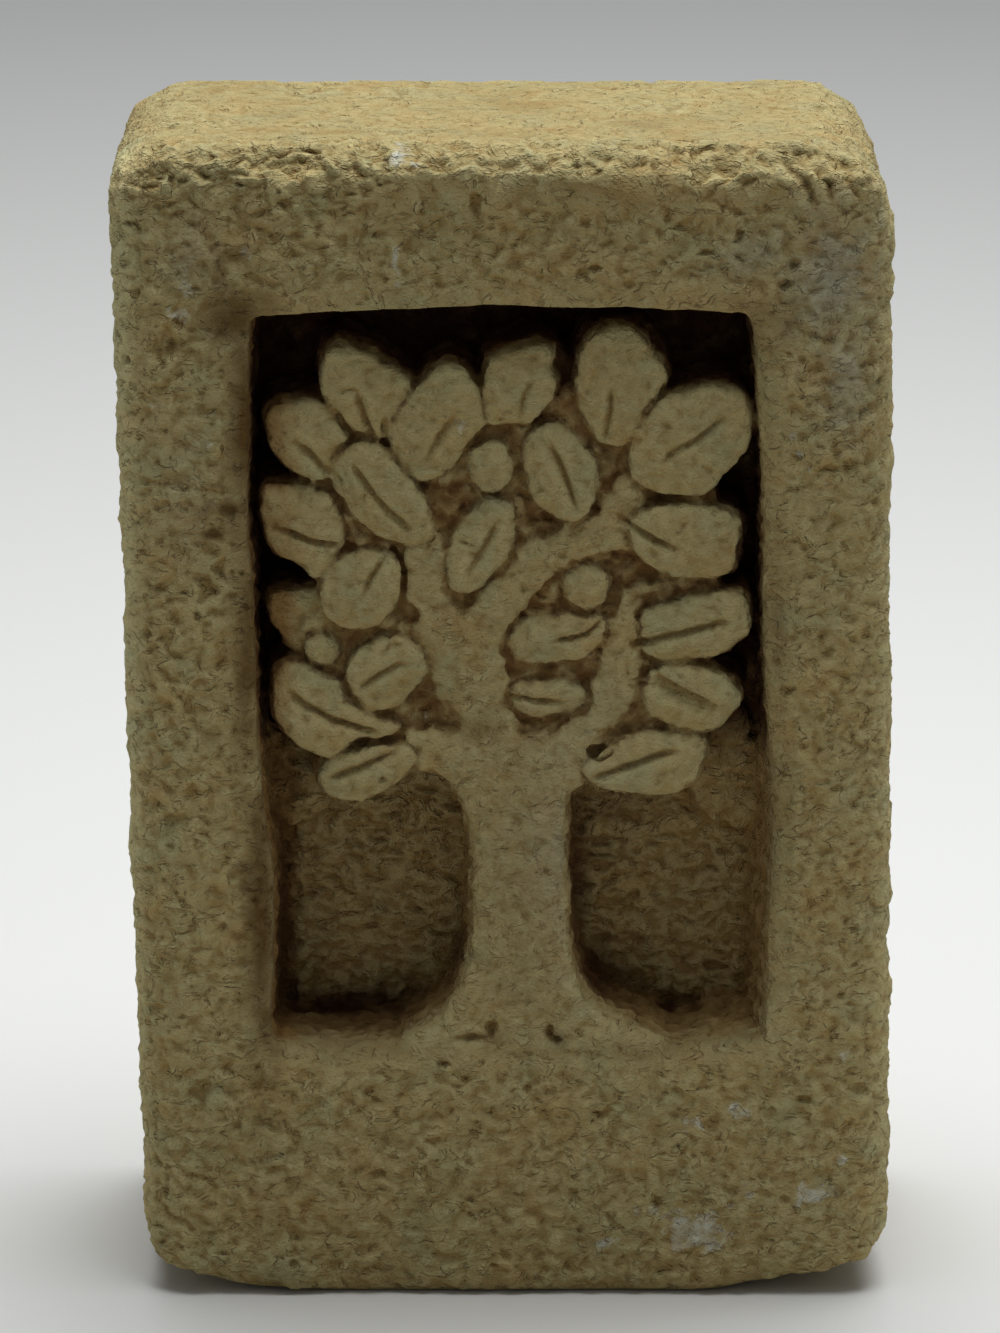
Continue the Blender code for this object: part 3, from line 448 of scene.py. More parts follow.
class PlaqueFinish(bpy.types.PropertyGroup):
    """Colours of the stone."""

    stone: colour("Stone", "Dressed faces of the limestone", "AF9C69")
    ochre: colour("Ochre", "Warmer patches in the limestone", "B0905A")
    green: colour("Green grey", "Cooler patches in the limestone", "A0976C")
    # Brown also paints shade in the hollows, creases, gaps and recess, besides earth
    brown: colour("Brown", "Earth that has settled in hollows and in the recess", "96703C")
    # The stain colour also paints shade along the sill's lip
    stain_and_shade: colour("Stain", "Damp and oil that have soaked in beside the recess", "5A3E16")
    # Umber also paints the deepest shade: behind the crown, in the corners, along the recess's foot and
    # along the leaves' edges
    umber: colour("Umber", "Earth in the deepest gaps", "4C2C14")
    chalk: colour("Chalk", "Bruised and newly chipped stone", "CBC4AC")
    grey: colour("Grey", "Handled and rubbed places", "A39C84")


class PlaqueStage(bpy.types.PropertyGroup):
    """The floor and the light."""

    floor: colour("Floor", "Pale floor that the plaque stands on", "F2F3F1")
    overhead: bpy.props.FloatProperty(name="Overhead light", description="Power of the soft box above",
                                      unit="POWER", default=3.7, min=0.0)
    behind: bpy.props.FloatProperty(name="Back light", description="Power of the soft box above and behind",
                                    unit="POWER", default=4.2, min=0.0)
    fill: bpy.props.FloatProperty(name="Fill", description="Strength of the light from all round",
                                  default=0.14, min=0.0)


def scramble(cells, seed):
    """Turns whole-number cells into repeatable numbers from 0 to 1, by mixing their bits."""
    mixed = (cells[0] * np.uint32(73856093)) ^ (cells[1] * np.uint32(19349663))
    mixed ^= (cells[2] * np.uint32(83492791)) ^ np.uint32(seed * 2654435761 & 0xFFFFFFFF)
    for shift, factor in ((15, 2246822519), (13, 3266489917)):
        mixed = (mixed ^ (mixed >> np.uint32(shift))) * np.uint32(factor)
    return (mixed ^ (mixed >> np.uint32(16))).astype(np.float32) / np.float32(4294967295)


def corners(reach):
    """Lists the cells round one cell, as far as reach says."""
    span = range(reach[0], reach[1] + 1)
    return [(x, y, z) for x in span for y in span for z in span]


def swell(points, size, seed):
    """Smooth noise from about -1 to 1. size is how far apart its lumps lie, one number or three.

    Each use of the noise has a seed of its own, so that no two marks follow the same lumps.
    """
    scaled = (points / np.asarray(size, np.float32)).T
    base = np.floor(scaled)
    local = scaled - base
    ease = local ** 3 * (local * (local * 6 - 15) + 10)
    cells = base.astype(np.int64).astype(np.uint32)
    total = np.zeros(len(points), np.float32)
    for corner in corners((0, 1)):
        at = [cells[axis] + np.uint32(corner[axis]) for axis in range(3)]
        value = sum((scramble(at, seed * 3 + axis) * 2 - 1) * (local[axis] - corner[axis])
                    for axis in range(3))
        for axis in range(3):
            value = value * (ease[axis] if corner[axis] else 1 - ease[axis])
        total += value
    return total * 1.9


def swells(points, size, octaves, seed):
    """Adds ever finer and weaker layers of smooth noise."""
    total = 0.0
    for octave in range(octaves):
        total = total + swell(points, np.asarray(size) / 2 ** octave, seed + octave) / 2 ** octave
    return total


def scoops(points, size, seed):
    """Overlapping hollows: 0 on their ridges to 1 in their middles, a number for each, and the way off."""
    scaled = (points / np.asarray(size, np.float32)).T
    base = np.floor(scaled)
    cells = base.astype(np.int64).astype(np.uint32)
    local = scaled - base
    nearest = np.full(len(points), 9.0, np.float32)
    second = nearest.copy()
    which = np.zeros(len(points), np.float32)
    for corner in corners((-1, 1)):
        at = [cells[axis] + np.uint32(corner[axis] % 2 ** 32) for axis in range(3)]
        away = sum((local[axis] - corner[axis] - scramble(at, seed * 5 + axis)) ** 2 for axis in range(3))
        closer = away < nearest
        second = np.where(closer, nearest, np.minimum(second, away))
        which = np.where(closer, scramble(at, seed * 5 + 3), which)
        nearest = np.where(closer, away, nearest)
    ridge = np.sqrt(second) - np.sqrt(nearest)
    return np.clip(ridge, 0.0, 1.0), which, np.sqrt(nearest)


def between(value, low, high):
    """Rises smoothly from 0 at low to 1 at high."""
    share = np.clip((value - low) / (high - low), 0.0, 1.0)
    return share * share * (3 - 2 * share)


def spot(across, up, place):
    """Strength from 0 to 1 of an oval place on the front."""
    middle_x, middle_z, half_width, half_height = place
    away = ((across - middle_x) / half_width) ** 2 + ((up - middle_z) / half_height) ** 2
    return np.exp(-away)


def turned(points, angle):
    """Turns points about the y axis by an angle in degrees, so that grooves run that way."""
    cos, sin = math.cos(math.radians(angle)), math.sin(math.radians(angle))
    return np.stack((points[:, 0] * cos + points[:, 2] * sin, points[:, 1],
                     -points[:, 0] * sin + points[:, 2] * cos), axis=1)


def vein_depth(across, up, vein):
    """Depth cut by one vein, a V whose sides may differ, which fades at its ends."""
    route, left, right, depth = vein
    best = np.zeros(len(across), np.float32)
    total = sum(math.dist(a, b) for a, b in zip(route, route[1:]))
    run = 0.0
    for (start_x, start_z), (end_x, end_z) in zip(route, route[1:]):
        span = math.dist((start_x, start_z), (end_x, end_z))
        along_x, along_z = (end_x - start_x) / span, (end_z - start_z) / span
        along = (across - start_x) * along_x + (up - start_z) * along_z
        held = np.clip(along, 0.0, span)
        off = (up - start_z) * along_x - (across - start_x) * along_z
        past = np.abs(along - held)
        width = np.where(off > 0, left, right)
        share = 1.0 - np.sqrt((off / width) ** 2 + (past / 0.6) ** 2)
        ends = np.minimum(run + held, total - run - held)
        fade = 0.35 + 0.65 * between(ends, 0.0, 1.6)
        best = np.maximum(best, np.clip(share, 0.0, 1.0) * fade * depth)
        run += span
    return best


def rounded(outline):
    """Cuts an outline's corners, so that it runs in a curve."""
    ring = np.array(outline)
    after = np.roll(ring, -1, axis=0)
    return np.stack((ring * 0.75 + after * 0.25, ring * 0.25 + after * 0.75), axis=1).reshape(-1, 2)


def outside(across, up, outline, margin):
    """Distance from an outline: above 0 outside it, below 0 inside it, and never past margin."""
    ring = rounded(outline)
    (left, low), (right, high) = ring.min(axis=0) - margin, ring.max(axis=0) + margin
    near = (across > left) & (across < right) & (up > low) & (up < high)
    x, z = across[near], up[near]
    best = np.full(x.shape, margin)
    inner = np.zeros(x.shape, bool)
    for (from_x, from_z), (to_x, to_z) in zip(ring, np.roll(ring, -1, axis=0)):
        span_x, span_z = to_x - from_x, to_z - from_z
        along = ((x - from_x) * span_x + (z - from_z) * span_z) / (span_x ** 2 + span_z ** 2)
        along = np.clip(along, 0.0, 1.0)
        best = np.minimum(best, np.hypot(x - from_x - along * span_x, z - from_z - along * span_z))
        if span_z:
            inner ^= ((from_z > z) != (to_z > z)) & (x < from_x + (z - from_z) / span_z * span_x)
    away = np.full(across.shape, margin)
    away[near] = np.where(inner, -best, best)
    return away


def softer(first, second, reach):
    """The lesser of two depths, with a hollow curve of some reach where they meet."""
    share = np.clip(0.5 + 0.5 * (second - first) / reach, 0.0, 1.0)
    return second + (first - second) * share - reach * share * (1 - share)


def edge_fall(away, roll, spread, slope):
    """How far a face falls off beside its outline: a small roll inside, a steep side outside."""
    inner = roll * np.exp(np.minimum(away, 0.0) / spread)
    outer = np.maximum(away, 0.0)
    return inner + slope * np.minimum(outer, 0.5) + WALL_SLOPE * np.maximum(outer - 0.5, 0.0)


class Relief:
    """The middle of the front on a grid: how deep each place is, and where the recess is."""

    def __init__(self):
        left, right, low, high = MIDDLE
        self.across = np.linspace(left, right, round((right - left) / GRID) + 1)
        self.up = np.linspace(low, high, round((high - low) / GRID) + 1)
        x, z = np.meshgrid(self.across, self.up)
        flat = np.stack((x.ravel(), np.zeros(x.size), z.ravel()), axis=1).astype(np.float32)
        self.inside = -outside(x, z, RECESS, OUTLINE_REACH)
        wall = self.recess_walls(x, z)
        back = self.recess_back(x, z, flat)
        cove = between(x, 18.0, 29.0) * (1 - between(z, 58.0, 74.0)) * between(z, 36.0, 46.0)
        emptied = softer(wall, back, INNER_CURVE + RIGHT_COVE * cove)
        self.leaf = np.full(x.shape, OUTLINE_REACH)
        self.depth = np.maximum(self.with_leaves(self.with_tree(emptied, x, z, flat), x, z), 0.0)

    def with_tree(self, depth, x, z, flat):
        """Leaves the rough stone behind the crown standing in the recess, and the trunk and boughs."""
        rough = STANDING_ROUGHNESS * swells(flat, (3.0, 3.0, 2.4), 3, 201).reshape(x.shape)
        for set_back, outline in STANDING:
            side = edge_fall(outside(x, z, outline, 5.0), *STANDING_EDGE)
            depth = np.minimum(depth, set_back + rough + side)
        rise = np.clip((z - RECESS_SILL) / FORK_HEIGHT, 0.0, 1.0)
        face = ROOT_SET_BACK + rise * (BOUGH_SET_BACK - ROOT_SET_BACK)
        for outline in BOUGHS:
            depth = np.minimum(depth, face + edge_fall(outside(x, z, outline, 6.0), *BOUGH_EDGE))
        return depth

    def with_leaves(self, depth, x, z):
        """Leaves each leaf standing, a little domed and leaning its own way, with a groove round it."""
        for number, (sink, outline) in enumerate(LEAVES):
            away = outside(x, z, outline, 6.0)
            middle = np.array(outline).mean(axis=0)
            turn = LEAN_TURN * number
            lean = LEAF_LEAN * ((x - middle[0]) * math.cos(turn) + (z - middle[1]) * math.sin(turn))
            dome = LEAF_DOME * np.exp(np.minimum(away, 0.0) / DOME_SPREAD)
            face = LEAF_SET_BACK + sink + np.clip(lean, -LEAN_LIMIT, LEAN_LIMIT) + dome - LEAF_LIFT
            depth = np.minimum(depth, face + edge_fall(away, *LEAF_EDGE))
            ring = np.clip(1 - np.abs(away - 0.3) / 0.4, 0.0, 1.0)
            groove = LEAF_GROOVE * ring * (depth < LEAF_SET_BACK + 2.6)
            depth = depth + groove * (self.leaf > 0.15)
            self.leaf = np.minimum(self.leaf, away)
        return depth

    def recess_walls(self, x, z):
        """Depth of the recess's walls, whose right edge and sill are rounder than the others."""
        right = between(x, 20.0, 27.0)
        low = 1 - between(z, RECESS_SILL + 2.0, RECESS_SILL + 8.0)
        edge = HARD_EDGE + (RIGHT_EDGE - HARD_EDGE) * right * (1 - between(z, 126.0, 131.0))
        edge = edge + LEFT_EDGE * (1 - between(x, -27.0, -24.0)) * (1 - between(z, 127.0, 131.0))
        edge = edge + (SILL_EDGE - edge) * low
        reach = np.clip(edge + self.inside, 0.0, edge)
        over = edge - np.sqrt(edge ** 2 - reach ** 2)
        slope = WALL_SLOPE + (WORN_SLOPE - WALL_SLOPE) * right * (1 - between(z, 70.0, 82.0))
        return over + slope * np.maximum(self.inside, 0.0)

    def recess_back(self, x, z, flat):
        """Depth of the back wall: uneven, and cut deeper along its foot, its left side and its head."""
        wander = swells(flat, (16.0, 16.0, 12.0), 2, 211).reshape(x.shape)
        foot = 1 - between(z, RECESS_SILL + 0.4, RECESS_SILL + 2.4)
        left = 1 - between(x, -29.6, -26.5)
        head = between(z, RECESS_HEAD - 14.0, RECESS_HEAD - 4.0)
        return RECESS_DEPTH + BACK_WANDER * wander + FOOT_CUT * np.maximum(foot, left) + HEAD_CUT * head

    def at(self, values, points):
        """Reads a grid's values at points."""
        column = np.clip(np.rint((points[:, 0] - MIDDLE[0]) / GRID), 0, len(self.across) - 1).astype(int)
        row = np.clip(np.rint((points[:, 2] - MIDDLE[2]) / GRID), 0, len(self.up) - 1).astype(int)
        return values[row, column]

    def solid(self):
        """Makes a closed mesh of the middle of the front, in metres."""
        rows, columns = self.depth.shape
        x, z = np.meshgrid(self.across, self.up)
        front = np.stack((x, FRONT + self.depth, z), axis=-1).reshape(-1, 3)
        number = np.arange(rows * columns).reshape(rows, columns)
        rim = np.concatenate((number[0, :-1], number[:-1, -1], number[-1, :0:-1], number[:0:-1, 0]))
        back = front[rim] * (1, 0, 1) + (0, MIDDLE_BACK + OVERLAP, 0)
        quads = np.stack((number[:-1, :-1], number[:-1, 1:], number[1:, 1:], number[1:, :-1]), axis=-1)
        behind = np.arange(len(rim)) + rows * columns
        sides = np.stack((rim, behind, np.roll(behind, -1), np.roll(rim, -1)), axis=-1)
        faces = quads.reshape(-1, 4).tolist() + sides.tolist() + [behind[::-1].tolist()]
        mesh = bpy.data.meshes.new("middle")
        mesh.from_pydata(np.concatenate((front, back)) / MM, [], faces)
        return mesh


def blurred(values, edges, count, rounds):
    """Averages values over neighbouring points, as many rounds as asked."""
    for _ in range(rounds):
        total = np.stack([np.bincount(edges[:, 0], values[edges[:, 1], axis], len(values))
                          + np.bincount(edges[:, 1], values[edges[:, 0], axis], len(values))
                          for axis in range(values.shape[1])], axis=1)
        values = (values + total) / (1 + count)[:, None]
    return values


def emptied_block(cad):
    """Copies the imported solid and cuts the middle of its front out."""
    left, right, low, high = MIDDLE
    corner = np.array((left + OVERLAP, FRONT - 5.0, low + OVERLAP)) / MM
    far = np.array((right - OVERLAP, MIDDLE_BACK, high - OVERLAP)) / MM
    tool = bpy.data.meshes.new("middle_cutter")
    shape = bmesh.new()
    bmesh.ops.create_cube(shape, size=1.0, matrix=Matrix.LocRotScale((corner + far) / 2, None, far - corner))
    shape.to_mesh(tool)
    shape.free()
    cutter = bpy.data.objects.new("middle_cutter", tool)
    block = bpy.data.objects.new("rough_block", cad.data.copy())
    for item in (cutter, block):
        bpy.context.scene.collection.objects.link(item)
    cut = block.modifiers.new("cut", "BOOLEAN")
    cut.operation = "DIFFERENCE"
    cut.solver = "EXACT"
    cut.object = cutter
    mesh = bpy.data.meshes.new_from_object(block.evaluated_get(bpy.context.evaluated_depsgraph_get()))
    bpy.data.objects.remove(cutter)
    bpy.data.objects.remove(block)
    return mesh


def fine_mesh(cad, relief, cell):
    """Joins the emptied block and the cut middle, and gives them one skin of small cells."""
    joined = bmesh.new()
    for mesh in (emptied_block(cad), relief.solid()):
        joined.from_mesh(mesh)
    whole = bpy.data.meshes.new("whole")
    joined.to_mesh(whole)
    joined.free()
    rough = bpy.data.objects.new("rough_block", whole)
    bpy.context.scene.collection.objects.link(rough)
    cells = rough.modifiers.new("cells", "REMESH")
    cells.mode = "VOXEL"
    cells.voxel_size = cell
    soften = rough.modifiers.new("soften", "SMOOTH")
    soften.factor = 0.4
    soften.iterations = 1
    evaluated = rough.evaluated_get(bpy.context.evaluated_depsgraph_get())
    mesh = bpy.data.meshes.new_from_object(evaluated)
    bpy.data.objects.remove(rough)
    if len(mesh.vertices) < 1000:
        raise RuntimeError("the cut solid is empty")
    return mesh


def read_points(mesh):
    """Returns the mesh's points in millimetres, its outward directions and its edges."""
    points = np.empty(len(mesh.vertices) * 3, np.float32)
    mesh.vertices.foreach_get("co", points)
    outward = np.empty(len(mesh.vertices) * 3, np.float32)
    mesh.vertex_normals.foreach_get("vector", outward)
    edges = np.empty(len(mesh.edges) * 2, np.int32)
    mesh.edges.foreach_get("vertices", edges)
    return points.reshape(-1, 3) * MM, outward.reshape(-1, 3), edges.reshape(-1, 2)


class Zones:
    """Shares from 0 to 1 that say which part of the block each point is on."""

    def __init__(self, points, outward, relief):
        across, inward, up = points.T

        # What faces the front, the middle of the front, and the recess, leaves and edge in it
        self.front = between(-outward[:, 1], 0.35, 0.85)
        in_middle = (across > MIDDLE[0]) & (across < MIDDLE[1]) & (up > MIDDLE[2]) & (up < MIDDLE[3])
        in_recess = between(relief.at(relief.inside, points), -0.7, 0.2) * in_middle
        self.leaf = relief.at(relief.leaf, points) * in_middle + OUTLINE_REACH * ~in_middle
        edge = np.abs(relief.at(relief.inside, points) + 1.2)
        shallow = 1 - between(inward, FRONT + 6.0, FRONT + 9.0)
        self.border = (1 - between(edge, 1.4, 3.0)) * in_middle * shallow

        # The carving is the front half of the recess, the wall its back, and the face lies round it
        open_part = 1 - between(inward, BACK_WALL + 2.0, BACK_WALL + 4.0)
        self.middle, self.recess = in_middle * open_part, in_recess * open_part
        self.carving = self.recess * (1 - between(inward, FRONT + 7.0, FRONT + 9.0))
        self.wall = self.recess * between(inward, BACK_WALL - 3.0, BACK_WALL - 1.0) * self.front
        self.face = self.front * (1 - self.recess) * (1 - between(inward, FRONT + 3.0, FRONT + 6.0))

        # The outer sides of the block, and the arris between its top and its front
        self.top = between(outward[:, 2], 0.6, 0.9) * (1 - self.recess) * between(up, TOP - 9.0, TOP - 4.0)
        self.side = between(np.abs(outward[:, 0]), 0.5, 0.9) * (1 - self.recess)
        self.back = between(outward[:, 1], 0.5, 0.9)
        self.foot = between(-outward[:, 2], 0.7, 0.95) * (1 - between(up, 1.0, 3.0))
        arris = (1 - between(TOP - up, 4.0, 13.0)) * (1 - between(inward - FRONT, 5.0, 9.0))
        self.arris = arris * (1 - self.recess)


def skin_depth(points, zones, skin):
    """Adds up what the tools and time have taken off all over the block, in millimetres."""
    # Points are read a little out of place, so that the lumps are less even than the noise
    warped = points + 0.9 * np.stack([swell(points, 2.8, seed) for seed in (11, 12, 13)], axis=1)
    taken = skin.waviness * MM * swells(points, 17.0, 2, 21) * (1 - zones.recess * 0.7)
    take_lumps(taken, points, warped, zones, skin.lump * MM)
    break_arris(taken, points, warped, zones, skin.ledge * MM)
    pick_recess(taken, points, warped, zones, skin.pick * MM)
    rasp_sides(taken, points, zones, skin.lump * MM)
    return taken


def take_lumps(taken, points, warped, zones, lump):
    """Takes off lumps and scoops of all sizes, fewer beside the recess, on the sides and at the back."""
    inward = points[:, 1]
    outer = zones.face + 0.6 * zones.arris + 0.4 * zones.side + 0.25 * zones.back
    far_side = 0.6 * zones.side * between(inward, FRONT + 10.0, FRONT + 20.0)
    hidden = 1 - 0.6 * np.maximum(zones.back, far_side)
    calm = 1 - 0.65 * zones.border
    taken += lump * 0.9 * swells(warped, 5.2, 2, 31) * (1 - zones.carving * 0.3) * calm
    lumps = lump * 1.1 * swells(warped, 2.3, 3, 33)
    taken += lumps * (1 - 0.3 * zones.carving) * (1 - zones.foot) * calm * hidden
    chipped, which, _ = scoops(warped, (3.2, 3.2, 1.9), 41)
    patches = 0.35 + 0.65 * between(swell(points, 9.0, 42), -0.2, 0.4)
    taken += lump * 1.5 * between(chipped, 0.0, 0.55) * which * outer * patches * calm
    small, chance, _ = scoops(warped, (1.7, 1.7, 1.15), 43)
    taken += lump * 1.1 * between(small, 0.0, 0.5) * chance * (outer + 0.8 * zones.carving) * calm


def break_arris(taken, points, warped, zones, ledge):
    """Breaks the top arris off in ledges, most of all on its left half, with flakes on them."""
    across, _, up = points.T
    ledges = swells(warped, (13.0, 6.0, 4.6), 3, 61) * 1.5 + up * 0.34
    step = ledges - np.floor(ledges)
    terraces = np.floor(ledges) - ledges + between(step, 0.72, 1.0)
    reach = 0.35 + 0.65 * between(-across + 6.0 * swell(points, 12.0, 62), -6.0, 14.0)
    taken -= ledge * terraces * zones.arris * reach * 0.8
    broken, chance, _ = scoops(warped, (8.0, 5.0, 2.8), 71)
    taken += ledge * 0.6 * between(broken, 0.0, 0.8) * chance * zones.arris * (0.4 + 0.6 * reach)
    flakes, chance, _ = scoops(warped, (3.8, 2.6, 1.4), 73)
    taken += ledge * 0.16 * between(flakes, 0.0, 0.4) * chance * zones.arris


def pick_recess(taken, points, warped, zones, pick):
    """Leaves pick strokes on the back wall, upright at its foot, and rough walls and gaps."""
    _, inward, up = points.T
    strokes, heavy, _ = scoops(warped, (2.7, 4.0, 1.1), 81)
    taken += pick * 2.0 * between(strokes, 0.0, 0.6) * heavy * zones.wall
    taken += pick * 1.0 * swells(warped, (3.4, 4.0, 1.8), 3, 82) * zones.wall
    teeth = swells(points, (1.7, 6.0, 7.0), 2, 84) * (1 - between(up, RECESS_SILL + 2.0, RECESS_SILL + 6.0))
    taken += pick * 1.4 * teeth * zones.wall
    inner = zones.recess * (1 - zones.front) * between(inward, FRONT + 5.0, FRONT + 9.0)
    taken += pick * 0.6 * swells(warped, 1.8, 2, 85) * inner
    gaps = zones.carving * between(zones.leaf, 0.2, 0.7) * between(inward, LEAF_FACE + 0.8, LEAF_FACE + 1.6)
    taken += pick * 0.8 * swells(warped, 1.8, 2, 86) * gaps


def rasp_sides(taken, points, zones, lump):
    """Leaves streaks along the top, upright ones on the sides and slanting ones on the back."""
    taken += lump * 0.35 * swells(points, (12.0, 0.9, 6.0), 2, 91) * zones.top
    taken += lump * 0.6 * swells(points, (4.0, 1.1, 9.0), 2, 92) * zones.side
    taken += lump * 0.5 * swells(turned(points, 35.0), (14.0, 5.0, 1.1), 2, 93) * zones.back


def chisel_depth(points, zones, skin):
    """Depth of the grooves that the chisel has left in four places of the front."""
    across, _, up = points.T
    depth = skin.groove * MM
    shown = zones.face + zones.arris
    taken = np.zeros(len(points), np.float32)
    for number, (place, angle, pitch, share) in enumerate(GROOVES):
        lined = turned(points, angle)
        wander = 0.35 * swell(points, 3.0, 101 + number) + 0.25 * swell(points, 7.0, 111 + number)
        wave = 0.5 - 0.5 * np.cos(2 * math.pi * (lined[:, 2] / pitch + wander))
        broken = 0.55 + 0.45 * swell(lined, (4.0, 4.0, 2.0), 121 + number)
        taken += depth * share * wave ** 2 * broken * spot(across, up, place) * 1.6 * shown
    return taken


def pit_depth(points, zones, skin):
    """Depth of the pits: many small ones by chance, and the larger ones in their places."""
    across, inward, up = points.T
    shown = np.clip(zones.face + 0.5 * zones.carving + zones.arris + 0.3 * zones.side, 0.0, 1.0)
    taken = np.zeros(len(points), np.float32)
    for number, (size, half, rarity) in enumerate(PITS):
        _, chance, away = scoops(points, size, 131 + number)
        bowl = np.clip(1 - away / half, 0.0, 1.0) * (chance > rarity)
        taken += skin.pit * MM * between(bowl, 0.0, 0.7) * shown * (1.0 - 0.25 * number)
    jagged = 1 + 0.45 * swell(points, 1.6, 141)
    outer = zones.front * (1 - between(inward, FRONT + 7.0, FRONT + 9.0))
    for middle_x, middle_z, half_width, half_height, depth in HOLLOWS:
        away = np.sqrt(((across - middle_x) / half_width) ** 2 + ((up - middle_z) / half_height) ** 2)
        taken += depth * between(1 - away * jagged * 0.75, 0.0, 0.7) * outer
    return taken


def worn_shape(points):
    """Lifts the foot at both front corners, and fills the top arris out on its right and at its left end."""
    across, inward, up = points.T
    moved = points.copy()
    lift = RIGHT_FOOT_LIFT * between(across, 24.0, 42.0) * (1 - between(inward, FRONT + 12.0, FRONT + 22.0))
    left = MIDDLE_FOOT_LIFT * between(-across, 24.0, 30.0) + LEFT_FOOT_LIFT * between(-across, 31.0, 44.0)
    lift += left * (1 - between(inward, FRONT + 20.0, FRONT + 40.0))
    lift *= 1 + 0.25 * swell(points, 6.0, 151)
    raised = np.maximum(up, lift + up * (1 - lift / FOOT_HEIGHT))
    moved[:, 2] = np.where(up < FOOT_HEIGHT, raised, up)
    full = np.exp(-((up - 147.5) / 3.4) ** 2) * between(across, -24.0, -12.0)
    full *= 1 - between(inward, FRONT + 5.0, FRONT + 10.0)
    corner = np.exp(-((up - 146.5) / 4.0) ** 2) * between(-across, 41.0, 46.0)
    moved[:, 0] -= CORNER_OUT * corner
    moved[:, 1] -= ARRIS_FORWARD * full
    moved[:, 2] += ARRIS_UP * full
    return moved


def carve_skin(mesh, relief, skin):
    """Cuts the tool marks, veins, pits and wear into the fine mesh and notes how each place was cut."""
    points, outward, edges = read_points(mesh)
    count = np.bincount(edges.ravel(), minlength=len(points)).astype(np.float32)
    outward = blurred(outward, edges, count, 2)
    outward /= np.linalg.norm(outward, axis=1)[:, None]
    zones = Zones(points, outward, relief)

    # What is taken off at each point, in millimetres: less at the foot, which stays flat
    taken = sum(cut(points, zones, skin) for cut in (skin_depth, chisel_depth, pit_depth))
    cut_face = zones.front * zones.carving
    across, _, up = points.T
    for vein in VEINS:
        taken += vein_depth(across, up, vein) * cut_face
    taken -= SIDE_STANDS * zones.side + ARRIS_STANDS * zones.arris
    taken *= 1 - 0.9 * zones.foot
    points = worn_shape(points)
    carved = points - outward * taken[:, None]

    # How far each point stands above the ones round it, which the stone's tone follows: painted shade in the
    # hollows and painted light on the heights
    level = blurred(carved, edges, count, LEVEL_ROUNDS)
    standing = np.einsum("ij,ij->i", carved - level, outward)

    lowest = LOW - (PAST_SIDE, PAST_FACE, -FOOT_CLEARANCE)
    highest = HIGH + (PAST_SIDE, PAST_FACE, 0.0)
    carved = np.clip(carved, lowest, highest)
    mesh.vertices.foreach_set("co", (carved / MM).astype(np.float32).ravel())
    mesh.update()
    # The tone follows the relief more strongly on the back wall, to paint shadow in its pick strokes
    store(mesh, "relief", np.clip(0.5 + standing / TONE_HEIGHT * (1 + 1.4 * zones.wall), -0.3, 1.3))
    store_places(mesh, carved, zones)


def store(mesh, name, values):
    """Keeps a number for each point of the mesh, for the material to read."""
    attribute = mesh.attributes.get(name) or mesh.attributes.new(name, "FLOAT", "POINT")
    attribute.data.foreach_set("value", np.asarray(values, np.float32))


def ragged_spots(points, places):
    """Strength of the strongest of many oval places at each point, with ragged rims."""
    across, _, up = points.T
    rim = np.clip(1 + 0.9 * swells(points, 2.2, 3, 165), 0.3, 2.5)
    total = np.zeros(len(points), np.float32)
    for *place, strength in places:
        total = np.maximum(total, strength * spot(across, up, place) ** rim)
    return total


def store_places(mesh, points, zones):
    """Notes where the stone is chalky, stained or smeared, where light and shade are painted, partly with
    earth, and how near a leaf is.
    """
    across, inward, up = points.T
    near = 1 - between(inward, FRONT + 7.0, FRONT + 10.0)
    outer = near * between(zones.front + zones.arris, 0.2, 0.6)
    for name, places in (("chalk", CHALK), ("stain_and_shade", STAINS_AND_SILL_SHADE), ("smear", SMEARS)):
        store(mesh, name, ragged_spots(points, places) * (near if name == "stain_and_shade" else outer))

    # The left and right arrises are made paler, the left more: painted light on the sides
    painted_side_light = np.maximum(between(-across, 45.5, 49.0), 0.55 * between(across, 46.0, 49.5))
    store(mesh, "painted_side_light", painted_side_light * (1 - between(inward, FRONT + 12.0, FRONT + 25.0)))

    # Painted shade, with some earth, lies in the gaps between the leaves, on the recess's walls and down its
    # left side, where the left wall casts it
    deep = inward - FRONT
    crown = zones.recess * between(up, CROWN_FOOT, CROWN_FOOT + 7.0)
    patchy = np.clip(0.7 + 0.5 * swells(points, 2.2, 2, 161), 0.3, 1.0)
    apart = between(zones.leaf, 0.0, 0.5)
    gaps = crown * apart * between(deep, LEAF_SET_BACK + 0.6, LEAF_SET_BACK + 1.9) * patchy
    walls = zones.middle * between(deep, 1.2, 9.0) * (0.40 + 0.35 * (1 - zones.front)) * apart
    left = zones.middle * between(deep, 0.9, 4.0) * (1 - between(across, -28.8, -26.0)) * 0.9
    store(mesh, "deep_shade_and_earth", np.maximum(np.maximum(gaps, walls), left))

    # Darker painted shade, with some earth, lies behind the crown, in pockets, in the corners and along the
    # recess's foot
    uneven = np.clip(1.0 + 0.5 * swells(points, 4.0, 2, 181), 0.4, 1.0)
    hidden = crown * apart * between(deep, 4.0, 7.0) * uneven
    dark_patches = between(swells(points, 3.2, 2, 191), 0.15, 0.5)
    pocket = crown * apart * dark_patches * between(deep, LEAF_SET_BACK + 0.8, 5.0)
    corner_shade = ragged_spots(points, SHADED_CORNERS) * zones.recess * between(deep, 4.5, 9.0)
    ragged = up + 0.8 * swell(points, 2.0, 171)
    low = 1 - between(ragged, RECESS_SILL + 0.3, RECESS_SILL + 2.0)
    foot = zones.recess * between(deep, 10.0, 14.0) * low
    store(mesh, "umber", np.max((hidden, foot, 0.9 * pocket, 0.6 * gaps, corner_shade), axis=0))

    # The distance from the nearest leaf, and past all leaves where there is no carving
    store(mesh, "seam", np.clip(zones.leaf, -2.0, 4.0) + 6.0 * (1 - zones.carving))


